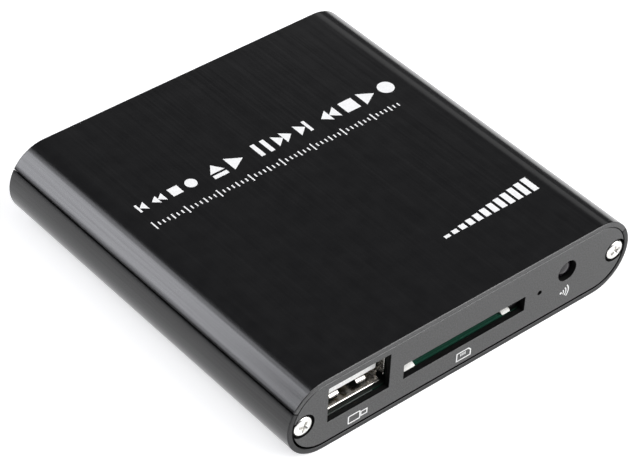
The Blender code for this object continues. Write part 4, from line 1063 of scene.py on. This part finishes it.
dress("power_jack_body", black_resin)
low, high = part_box("power_jack_pin")
middle, radius = (low + high) / 2, (high.x - low.x) / 2
pin_rings = [(low.y, circle((middle.x, middle.z), radius, PIN_STEPS))]
for step in range(PIN_TIP_STEPS + 1):
    angle = math.radians(90 * step / PIN_TIP_STEPS)
    outline = circle((middle.x, middle.z), radius * max(math.cos(angle), PIN_TIP_SHARE), PIN_STEPS)
    pin_rings.append((high.y - radius + radius * math.sin(angle), outline))
power_pin = made("power_pin", lofted(pin_rings), port_metal)
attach(power_pin, "case")
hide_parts("power_jack_pin")
dress("power_jack_leaf", port_metal)

# Upper cover of the case
# The second extrusion, which closes the case over the shell's lips and leaves a fine open seam down
# each side. It has the same gloss black coat and the same bare cut ends.

COVER_SEAM_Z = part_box("upper_cover")[0].z
cover_turn = math.degrees(math.asin((COVER_SEAM_Z - MIDDLE_Z) / OUTER_RADIUS))
cover_end = blasted_grey("cover_end_grey")
upper_cover = made("cover_extrusion", case_wall(cover_turn, 180 - cover_turn), coat, cover_end)
level(upper_cover)
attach(upper_cover, "case")
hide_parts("upper_cover")

# Marks on the cover
# Plain symbols screen-printed in white ink: a row of playing symbols, a fine graduated scale under it, and
# a small level meter near the front corner. They stand a hair proud of the coat.

SYMBOL_ROW_LEFT = -0.0305
SYMBOL_ROW_Y = 0.0137
SMALL_SYMBOL = 0.0026
LARGE_SYMBOL = 0.0037
SYMBOL_GAP = 0.00135
GROUP_GAP = 0.0030
SYMBOL_GROUPS = (
    (SMALL_SYMBOL, ("previous", "rewind", "stop", "record")),
    (LARGE_SYMBOL, ("eject", "play")),
    (LARGE_SYMBOL, ("pause", "forward", "next")),
    (LARGE_SYMBOL, ("rewind", "stop", "play", "record")),
)
SCALE_LEFT = -0.0307
SCALE_LENGTH = 0.0571
SCALE_Y = 0.00835
SCALE_TICKS = 56
TICK_WIDTH = 0.00028
TICK_HEIGHTS = (0.0021, 0.0009, 0.0009, 0.0009, 0.0014, 0.0009, 0.0009)
METER_LEFT = 0.0078
METER_BASE_Y = -0.0255
METER_BARS = 12
METER_BAR_WIDTH = 0.0013
METER_PITCH = 0.00195
METER_LOW = 0.0007
METER_HIGH = 0.0039
INK_ROOT = 0.00002
WIDE_SHARE = 0.86
TALL_SHARE = 0.86
SLIM_SHARE = 0.62
BAR_SHARE = 0.26
STROKE_SHARE = 0.182
STEP_SHARE = 0.52
NEXT_STEP_SHARE = 0.5824
PREVIOUS_STEP_SHARE = 0.195
EJECT_FOOT_SHARE = 0.1
DISC_SHARE = 0.46
DISC_STEPS = 40


def white_ink():
    """Opaque white screen ink with a slightly uneven film."""
    material, tree, shader = finish_nodes("white_ink", (0.90, 0.90, 0.90), 0.45)
    ink_film_and_shade_sheet = speckle(tree, 2600, 3.0)
    mottled(tree, shader, ink_film_and_shade_sheet, (0.84, 0.84, 0.84), (0.93, 0.93, 0.93))
    bumped(tree, shader, ink_film_and_shade_sheet, 0.000002)
    return material


def pointed(size, way):
    """A triangle that points right (way 1) or left (way -1), in a square of a given size."""
    middle = size * WIDE_SHARE / 2
    corners = [(0, -size / 2), (2 * middle, 0), (0, size / 2)]
    return [(middle + way * (a - middle), b) for a, b in corners]


def symbols(size):
    """Outlines and rings of each playing symbol, drawn from the left at the height of the row's middle."""
    bar, step = size * BAR_SHARE, size * STEP_SHARE
    wide, tall = size * WIDE_SHARE, size / 2
    short = tall * TALL_SHARE
    slim, slim_back = ([(a * SLIM_SHARE, b * TALL_SHARE) for a, b in pointed(size, way)] for way in (1, -1))
    foot = size * EJECT_FOOT_SHARE
    stroke = rectangle(0, size * STROKE_SHARE, -short, short)
    return {
        "play": [pointed(size, 1)],
        "pause": [rectangle(0, bar, -tall, tall), rectangle(wide - bar, wide, -tall, tall)],
        "stop": [rectangle(0, wide, -short, short)],
        "record": [circle((wide / 2, 0), size * DISC_SHARE, DISC_STEPS)],
        "forward": [slim, shifted(slim, step, 0)],
        "rewind": [slim_back, shifted(slim_back, step, 0)],
        "next": [slim, shifted(stroke, size * NEXT_STEP_SHARE, 0)],
        "previous": [stroke, shifted(slim_back, size * PREVIOUS_STEP_SHARE, 0)],
        "eject": [[(0, -foot), (wide, -foot), (wide / 2, tall)], rectangle(0, wide, -tall, -tall / 2)],
    }


ink = white_ink()
cover_marks = bmesh.new()


def inked(outline):
    """Prints a solid shape on the cover."""
    heights = (CASE_HEIGHT - PRINT_THICKNESS - INK_ROOT, CASE_HEIGHT)
    loft_into(cover_marks, [(height, outline) for height in heights], "z")


pen = SYMBOL_ROW_LEFT
for size, row in SYMBOL_GROUPS:
    for name in row:
        shapes = symbols(size)[name]
        for shape in shapes:
            inked(shifted(shape, pen, SYMBOL_ROW_Y))
        pen += max(a for shape in shapes for a, b in shape) + SYMBOL_GAP
    pen += GROUP_GAP - SYMBOL_GAP
for number in range(SCALE_TICKS):
    x = SCALE_LEFT + SCALE_LENGTH * number / (SCALE_TICKS - 1)
    tall = TICK_HEIGHTS[number % len(TICK_HEIGHTS)] / 2
    inked(rectangle(x - TICK_WIDTH / 2, x + TICK_WIDTH / 2, SCALE_Y - tall, SCALE_Y + tall))
for number in range(METER_BARS):
    x = METER_LEFT + METER_PITCH * number
    tall = METER_LOW + (METER_HIGH - METER_LOW) * number / (METER_BARS - 1)
    inked(rectangle(x, x + METER_BAR_WIDTH, METER_BASE_Y, METER_BASE_Y + tall))
cover_print = made("cover_print", cover_marks, ink)
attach(cover_print, "case")

# End panels
# Sawn plates of the same metal, milled with the openings of each end and a seat for each screw head,
# then bead-blasted and anodised grey. Each fills its end of the case inside a fine dark gap.

PANEL_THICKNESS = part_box("front_panel")[1].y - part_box("front_panel")[0].y
PANEL_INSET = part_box("front_panel")[0].z
PANEL_TOP_INSET = 0.00109
PANEL_LOW_ROOM = 0.00018
PANEL_EDGE = 0.00016
PANEL_STEPS = 64
HOLE_EDGE = 0.00007
HOLE_EDGE_STEPS = 3
HOLE_CORNER = 0.00018
SEAT_RADIUS = 0.00245
SEAT_DEPTH = 0.0007
SHAFT_HOLE_RADIUS = 0.0013
SHAFT_HOLE_STEPS = 32
PORT_SIDE_ROOM = 0.0004
PORT_SILL = 0.0001
PORT_LINTEL = 0.0011
SLOT_LEFT_ROOM = 0.0011
SLOT_RIGHT_COVER = 0.0010
SLOT_SILL = -0.0002
SLOT_HEADROOM = 0.00042
LIGHT_HOLE_RADIUS = 0.0005
RECEIVER_HOLE_RADIUS = 0.0022
VIDEO_ROOM = 0.0003
AV_HOLE_ROOM = 0.0003
POWER_HOLE_RADIUS = 0.0032
POWER_AXIS_RISE = 0.0038


def panel_outline(inset):
    """The case's cross-section, drawn inset. The plate sits against the cover, with the wider gap below."""
    low, high = PANEL_INSET + PANEL_LOW_ROOM + inset, CASE_HEIGHT - PANEL_TOP_INSET - inset
    radius, middle = (high - low) / 2, (high + low) / 2
    right = arc((ROUND_X, middle), radius, -90, 90, PANEL_STEPS)
    return right + arc((-ROUND_X, middle), radius, 90, 270, PANEL_STEPS)


def window(left, right, low, high):
    """An opening's outline as a function of how far its edge is opened out."""
    return lambda grow: rounded(left - grow, right + grow, low - grow, high + grow, HOLE_CORNER + grow)


def drilled(place, radius, steps=PANEL_STEPS):
    """A round hole's outline as a function of how far its edge is opened out."""
    return lambda grow: circle(place, radius + grow, steps)


def through_cut(opening, depth):
    """A cutter with a flare at the panel's face, which leaves the opening a broken edge."""
    rings = [(-OVERRUN, opening(HOLE_EDGE))]
    rings += [(back, opening(out)) for out, back in edge_ring(HOLE_EDGE, HOLE_EDGE_STEPS)]
    rings.append((depth, opening(0)))
    return lofted(rings)


def shaded_wall_finish():
    """Dull near-black on the milled walls of the openings and of the screw seats: painted shade."""
    material, tree, shader = finish_nodes("painted_wall_shade", (0.005, 0.005, 0.005), 0.6)
    shader.inputs["Specular IOR Level"].default_value = 0.12
    mottle = speckle(tree, 1400, 2.0)
    ranged(tree, mottle, 0.5, 0.72, shader.inputs["Roughness"])
    mottled(tree, shader, mottle, (0.003, 0.003, 0.003), (0.007, 0.007, 0.007))
    return material


def paint_wall_shade(plate):
    """Puts the painted shade on the walls of the openings and of the screw seats, behind their broken front
    edges.
    """
    reach = (CASE_HEIGHT - PANEL_TOP_INSET - PANEL_INSET) / 2
    middle = PANEL_INSET + reach
    for face in plate.data.polygons:
        x, y, z = face.center
        inside = math.hypot(max(abs(x) - ROUND_X, 0), z - middle) < reach - 2 * PANEL_EDGE
        if inside and HOLE_EDGE < y < PANEL_THICKNESS - HOLE_EDGE:
            face.material_index = 1


def end_panel(name, openings, grey, dark):
    """A plate with its front at y = 0, cut through by its openings and seated for its two screws."""
    rings = [(back, panel_outline(out)) for out, back in edge_ring(PANEL_EDGE)]
    rings.append((PANEL_THICKNESS, panel_outline(0)))
    plate = made(name, lofted(rings), grey, dark)
    through = PANEL_THICKNESS + OVERRUN
    cutters = [through_cut(opening, through) for opening in openings]
    for x in (-CHANNEL_X, CHANNEL_X):
        cutters.append(through_cut(drilled((x, MIDDLE_Z), SEAT_RADIUS), SEAT_DEPTH))
        cutters.append(prism(circle((x, MIDDLE_Z), SHAFT_HOLE_RADIUS, SHAFT_HOLE_STEPS), 0, through))
    worked(plate, "DIFFERENCE", cutters)
    paint_wall_shade(plate)
    return level(plate)


panel_grey = blasted_grey()
wall_shade = shaded_wall_finish()
opening_half = port_half + PORT_SIDE_ROOM
socket_low, socket_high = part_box("card_socket_frame")
slot_left, slot_right = socket_low.x - SLOT_LEFT_ROOM, socket_high.x - SLOT_RIGHT_COVER
front_openings = [
    window(
        port_x - opening_half, port_x + opening_half,
        board_high.z + PORT_SILL, CASE_HEIGHT - PANEL_INSET - PORT_LINTEL,
    ),
    window(slot_left, slot_right, socket_low.z + SLOT_SILL, socket_high.z + SLOT_HEADROOM),
    drilled((centre("status_light").x, centre("status_light").z), LIGHT_HOLE_RADIUS, SHAFT_HOLE_STEPS),
    drilled((receiver_x, receiver_z), RECEIVER_HOLE_RADIUS),
]
front_panel = end_panel("front_plate", front_openings, panel_grey, wall_shade)
front_panel.matrix_world = Matrix.Translation((0, -HALF_DEPTH, 0))
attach(front_panel, "case")
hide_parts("front_panel")


def video_window(grow):
    """The opening round the video socket, as the rear plate's own front shows it."""
    return mirrored(video_mouth(VIDEO_ROOM + grow))


av_low, av_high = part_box("av_jack_collar")
av_middle = (av_low + av_high) / 2
power_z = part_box("power_jack_body")[0].z + POWER_AXIS_RISE
rear_openings = [
    video_window,
    drilled((-av_middle.x, av_middle.z), (av_high.x - av_low.x) / 2 + AV_HOLE_ROOM),
    drilled((-centre("power_jack_pin").x, power_z), POWER_HOLE_RADIUS),
]
rear_panel = end_panel("rear_plate", rear_openings, panel_grey, wall_shade)
rear_panel.matrix_world = Matrix.Translation((0, HALF_DEPTH, 0)) @ Matrix.Rotation(math.pi, 4, "Z")
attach(rear_panel, "case")
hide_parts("rear_panel")

# Marks on the front panel
# Three small pictograms in the same ink, one under each way in: a plug, a card with its cut corner, and the
# waves of a remote control.

ICON_STROKE = 0.00024
ICON_PROUD = 0.00002
PLUG_Z = 0.0033
PLUG_BODY = (0.0028, 0.0019)
PLUG_TIP = (0.0016, 0.0012)
CARD_Z = 0.0034
CARD_SIZE = (0.0035, 0.0020)
CARD_CUT = 0.0006
CARD_STRIPE = (0.00024, 0.0006)
STRIPE_PLACES = (-1.6, -0.6, 0.4)
WAVE_Z = 0.0048
WAVE_SHIFT = -0.0010
WAVE_RADII = (0.0007, 0.0013, 0.0019)
WAVE_ANGLE = 42
WAVE_DOT = 0.00026
DOT_SIDES = 20
WAVE_STEPS = 10

panel_marks = bmesh.new()
ink_front, ink_back = -HALF_DEPTH - ICON_PROUD, -HALF_DEPTH + ICON_PROUD


def stamped(outline):
    """Prints a solid shape on the front panel."""
    loft_into(panel_marks, [(ink_front, outline), (ink_back, outline)], "y")


def stroked(outer, inner):
    """Prints the stroke between two outlines of equal count."""
    loops = []
    for outline, y in ((outer, ink_front), (outer, ink_back), (inner, ink_back), (inner, ink_front)):
        loops.append([panel_marks.verts.new((x, y, z)) for x, z in outline])
    banded(panel_marks, loops, loops[1:] + loops[:1])


body_left = port_x - (PLUG_BODY[0] + PLUG_TIP[0]) / 2
body_right = body_left + PLUG_BODY[0]
tip_right = body_right + PLUG_TIP[0]
tall, line = PLUG_BODY[1] / 2, ICON_STROKE
stroked(
    rounded(body_left, body_right, PLUG_Z - tall, PLUG_Z + tall, line),
    rounded(body_left + line, body_right - line, PLUG_Z - tall + line, PLUG_Z + tall - line, line / 2),
)
tall = PLUG_TIP[1] / 2
stroked(
    rectangle(body_right + line / 4, tip_right, PLUG_Z - tall, PLUG_Z + tall),
    rectangle(body_right + line, tip_right - line, PLUG_Z - tall + line, PLUG_Z + tall - line),
)
card_x = (slot_left + slot_right) / 2


def card_outline(inset):
    """The card's outline with its cut corner, drawn inset."""
    across, tall = CARD_SIZE[0] / 2 - inset, CARD_SIZE[1] / 2 - inset
    cut = CARD_CUT - inset / 2
    corners = [(-across, -tall), (across, -tall), (across, tall - cut), (across - cut, tall), (-across, tall)]
    return shifted(corners, card_x, CARD_Z)


stroked(card_outline(0), card_outline(ICON_STROKE))
stripe_top = CARD_Z + CARD_SIZE[1] / 2 - 2 * ICON_STROKE
for place in STRIPE_PLACES:
    x = card_x + place * 2 * CARD_STRIPE[0]
    stamped(rectangle(x, x + CARD_STRIPE[0], stripe_top - CARD_STRIPE[1], stripe_top))
wave_x = receiver_x + WAVE_SHIFT
stamped(circle((wave_x, WAVE_Z), WAVE_DOT, DOT_SIDES))
for radius in WAVE_RADII:
    near, far = radius - ICON_STROKE / 2, radius + ICON_STROKE / 2
    wave = arc((wave_x, WAVE_Z), far, -WAVE_ANGLE, WAVE_ANGLE, WAVE_STEPS)
    stamped(wave + arc((wave_x, WAVE_Z), near, WAVE_ANGLE, -WAVE_ANGLE, WAVE_STEPS))
panel_print = made("panel_print", panel_marks, ink)
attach(panel_print, "case")

# Panel screws
# Nickel-plated self-tapping screws with a low domed head and a cross recess. They bite into the shell's
# screw channels, and their heads sit in the panels' seats.

HEAD_RADIUS = 0.00195
HEAD_PROUD = 0.0002
HEAD_DOME = 0.00042
HEAD_DEPTH = 0.0006
HEAD_CROWN_SHARE = 0.35
HEAD_STEPS = 64
DOME_RINGS = 6
HEAD_SMOOTH_ANGLE = 30
RECESS_ARM = 0.00118
RECESS_WIDTH = 0.00052
RECESS_DEPTH = 0.00062
RECESS_TAPER_SHARE = 0.45
RECESS_LEAST_SHARE = 0.4
THREAD_RADIUS = 0.0010
THREAD_DEPTH = 0.00022
THREAD_PITCH = 0.0008
THREAD_LENGTH = 0.0066
THREAD_STEPS = 8
THREAD_SIDES = 32
THREAD_ROOT = 0.0001
TIP_LENGTH = 0.0009


def threaded(along, phase_turns):
    """The outline of the thread at one place: its ridge winds round as the place moves on."""
    points = []
    for step in range(THREAD_SIDES):
        phase = (step / THREAD_SIDES + phase_turns) % 1.0
        ridge = max(0.0, 1 - abs(phase - 0.5) * 3)
        radius = THREAD_RADIUS - THREAD_DEPTH * (1 - ridge)
        angle = 2 * math.pi * step / THREAD_SIDES
        points.append((radius * math.cos(angle), radius * math.sin(angle)))
    return along, points


def cross_cutter():
    """The driver's recess: a cross whose arms narrow towards the bottom."""
    shapes = []
    for wide, tall in ((RECESS_ARM, RECESS_WIDTH / 2), (RECESS_WIDTH / 2, RECESS_ARM)):
        least = RECESS_WIDTH * RECESS_LEAST_SHARE
        slim, short = (min(reach, max(reach * RECESS_TAPER_SHARE, least)) for reach in (wide, tall))
        mouth, bottom = rectangle(-wide, wide, -tall, tall), rectangle(-slim, slim, -short, short)
        rings = [(-HEAD_PROUD - OVERRUN, mouth), (-HEAD_PROUD, mouth), (RECESS_DEPTH - HEAD_PROUD, bottom)]
        shapes.append(lofted(rings))
    return shapes


def panel_screw(name, plating, turn):
    """One screw: a domed head with its recess, and a tapping thread behind it."""
    rings = []
    for step in range(DOME_RINGS + 1):
        angle = math.radians(90 * step / DOME_RINGS)
        radius = HEAD_RADIUS * (HEAD_CROWN_SHARE + (1 - HEAD_CROWN_SHARE) * math.sin(angle))
        rings.append((-HEAD_PROUD + HEAD_DOME * (1 - math.cos(angle)), circle((0, 0), radius, HEAD_STEPS)))
    rings.append((HEAD_DEPTH, circle((0, 0), HEAD_RADIUS, HEAD_STEPS)))
    head = made(name, lofted(rings), plating, smooth=HEAD_SMOOTH_ANGLE)
    count = int(THREAD_LENGTH / THREAD_PITCH * THREAD_STEPS)
    root = HEAD_DEPTH - THREAD_ROOT
    shank = [threaded(root + THREAD_LENGTH * step / count, step / THREAD_STEPS) for step in range(count + 1)]
    shank.append((root + THREAD_LENGTH + TIP_LENGTH, circle((0, 0), THREAD_RADIUS / 4, THREAD_SIDES)))
    worked(head, "UNION", [lofted(shank)])
    worked(head, "DIFFERENCE", cross_cutter())
    head.data.transform(Matrix.Rotation(math.radians(turn), 4, "Y"))
    return head


plating = nickel_plate()
for end, facing, turns in (("front", -1, (24, -18)), ("rear", 1, (40, 5))):
    for side, turn in zip(("left", "right"), turns):
        node = f"{end}_screw_{side}"
        screw = panel_screw(f"{end}_fixing_{side}", plating, turn)
        ahead = Matrix.Rotation(math.pi, 4, "Z") if facing > 0 else Matrix.Identity(4)
        screw.matrix_world = Matrix.Translation((centre(node).x, facing * HALF_DEPTH, MIDDLE_Z)) @ ahead
        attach(screw, "case")
        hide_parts(node)

# Floor, lamps and camera
# A pale studio sweep with one long soft lamp behind the left side, whose edge shows in the round side of
# the case, and soft lamps in front and above.

FLOOR_HALF = 6.0
FLOOR_GLOW = 0.55
CAMERA_PLACE = Vector((-0.24282, -0.26962, 0.31732))
CAMERA_RIGHT = Vector((0.76437, -0.64349, 0.04081))
CAMERA_UP = Vector((0.39812, 0.52079, 0.75517))
CAMERA_LENS = 147.49
COOL = (0.94, 0.95, 1.0)

floor_bm = bmesh.new()
corners = rectangle(-FLOOR_HALF, FLOOR_HALF, -FLOOR_HALF, FLOOR_HALF)
floor_bm.faces.new([floor_bm.verts.new((x, y, 0)) for x, y in corners])


def pale_floor():
    """Pale paper that the camera and the gloss see as white, and that keeps a soft shadow."""
    material, tree, shader = finish_nodes("pale_paper", (0.80, 0.80, 0.80), 0.9)
    shader.inputs["Specular IOR Level"].default_value = 0.0
    path = tree.nodes.new("ShaderNodeLightPath")
    seen = path.outputs["Is Camera Ray"]
    for other in ("Is Glossy Ray", "Is Transmission Ray"):
        either = tree.nodes.new("ShaderNodeMath")
        either.operation = "MAXIMUM"
        tree.links.new(seen, either.inputs[0])
        tree.links.new(path.outputs[other], either.inputs[1])
        seen = either.outputs[0]
    glow = tree.nodes.new("ShaderNodeMath")
    glow.operation = "MULTIPLY"
    glow.inputs[1].default_value = FLOOR_GLOW
    tree.links.new(seen, glow.inputs[0])
    shader.inputs["Emission Color"].default_value = (1, 1, 1, 1)
    tree.links.new(glow.outputs[0], shader.inputs["Emission Strength"])
    return material


floor = made("studio_floor", floor_bm, pale_floor())


def soft_lamp(name, direction, distance, along, size, power, colour=(1, 1, 1)):
    """A soft rectangular lamp that faces the object, with its long side along a direction."""
    data = bpy.data.lights.new(name, "AREA")
    data.shape = "RECTANGLE"
    data.size, data.size_y = size
    data.energy = power
    data.color = colour
    lamp = bpy.data.objects.new(name, data)
    bpy.context.scene.collection.objects.link(lamp)
    back = Vector(direction).normalized()
    across = Vector(along) - Vector(along).dot(back) * back
    across.normalize()
    turn = Matrix((across, back.cross(across), back)).transposed()
    lamp.matrix_world = Matrix.Translation(back * distance) @ turn.to_4x4()


soft_lamp("side_strip", (-0.596, 0.561, 0.575), 1.2, (-0.695, 0, -0.719), (1.18, 0.48), 5.6, COOL)
soft_lamp("side_strip_core", (-0.548, 0.655, 0.520), 1.19, (-0.695, 0, -0.719), (0.80, 0.40), 4.2, COOL)
soft_lamp("front_box", (0.507, -0.654, 0.561), 1.4, (1, 0, 0), (1.5, 1.1), 26)
soft_lamp("rear_glow", (0.600, 0.658, 0.454), 1.5, (0.739, -0.674, 0), (1.6, 0.36), 0.95)
soft_lamp("top_box", (-0.20, -0.25, 0.95), 1.5, (1, 0, 0), (0.7, 0.7), 3)

world = bpy.data.worlds.new("dim_studio")
bpy.context.scene.world = world
world.use_nodes = True
world.node_tree.nodes["Background"].inputs["Color"].default_value = (0.08, 0.08, 0.082, 1)

camera_data = bpy.data.cameras.new("photo_view")
camera_data.lens = CAMERA_LENS
camera_data.sensor_width = 36
camera_data.clip_start = 0.01
camera_data.clip_end = 20
camera = bpy.data.objects.new("photo_view", camera_data)
bpy.context.scene.collection.objects.link(camera)
turn = Matrix((CAMERA_RIGHT, CAMERA_UP, CAMERA_RIGHT.cross(CAMERA_UP))).transposed()
camera.matrix_world = Matrix.Translation(CAMERA_PLACE) @ turn.to_4x4()
bpy.context.scene.camera = camera
bpy.context.scene.view_settings.view_transform = "Standard"
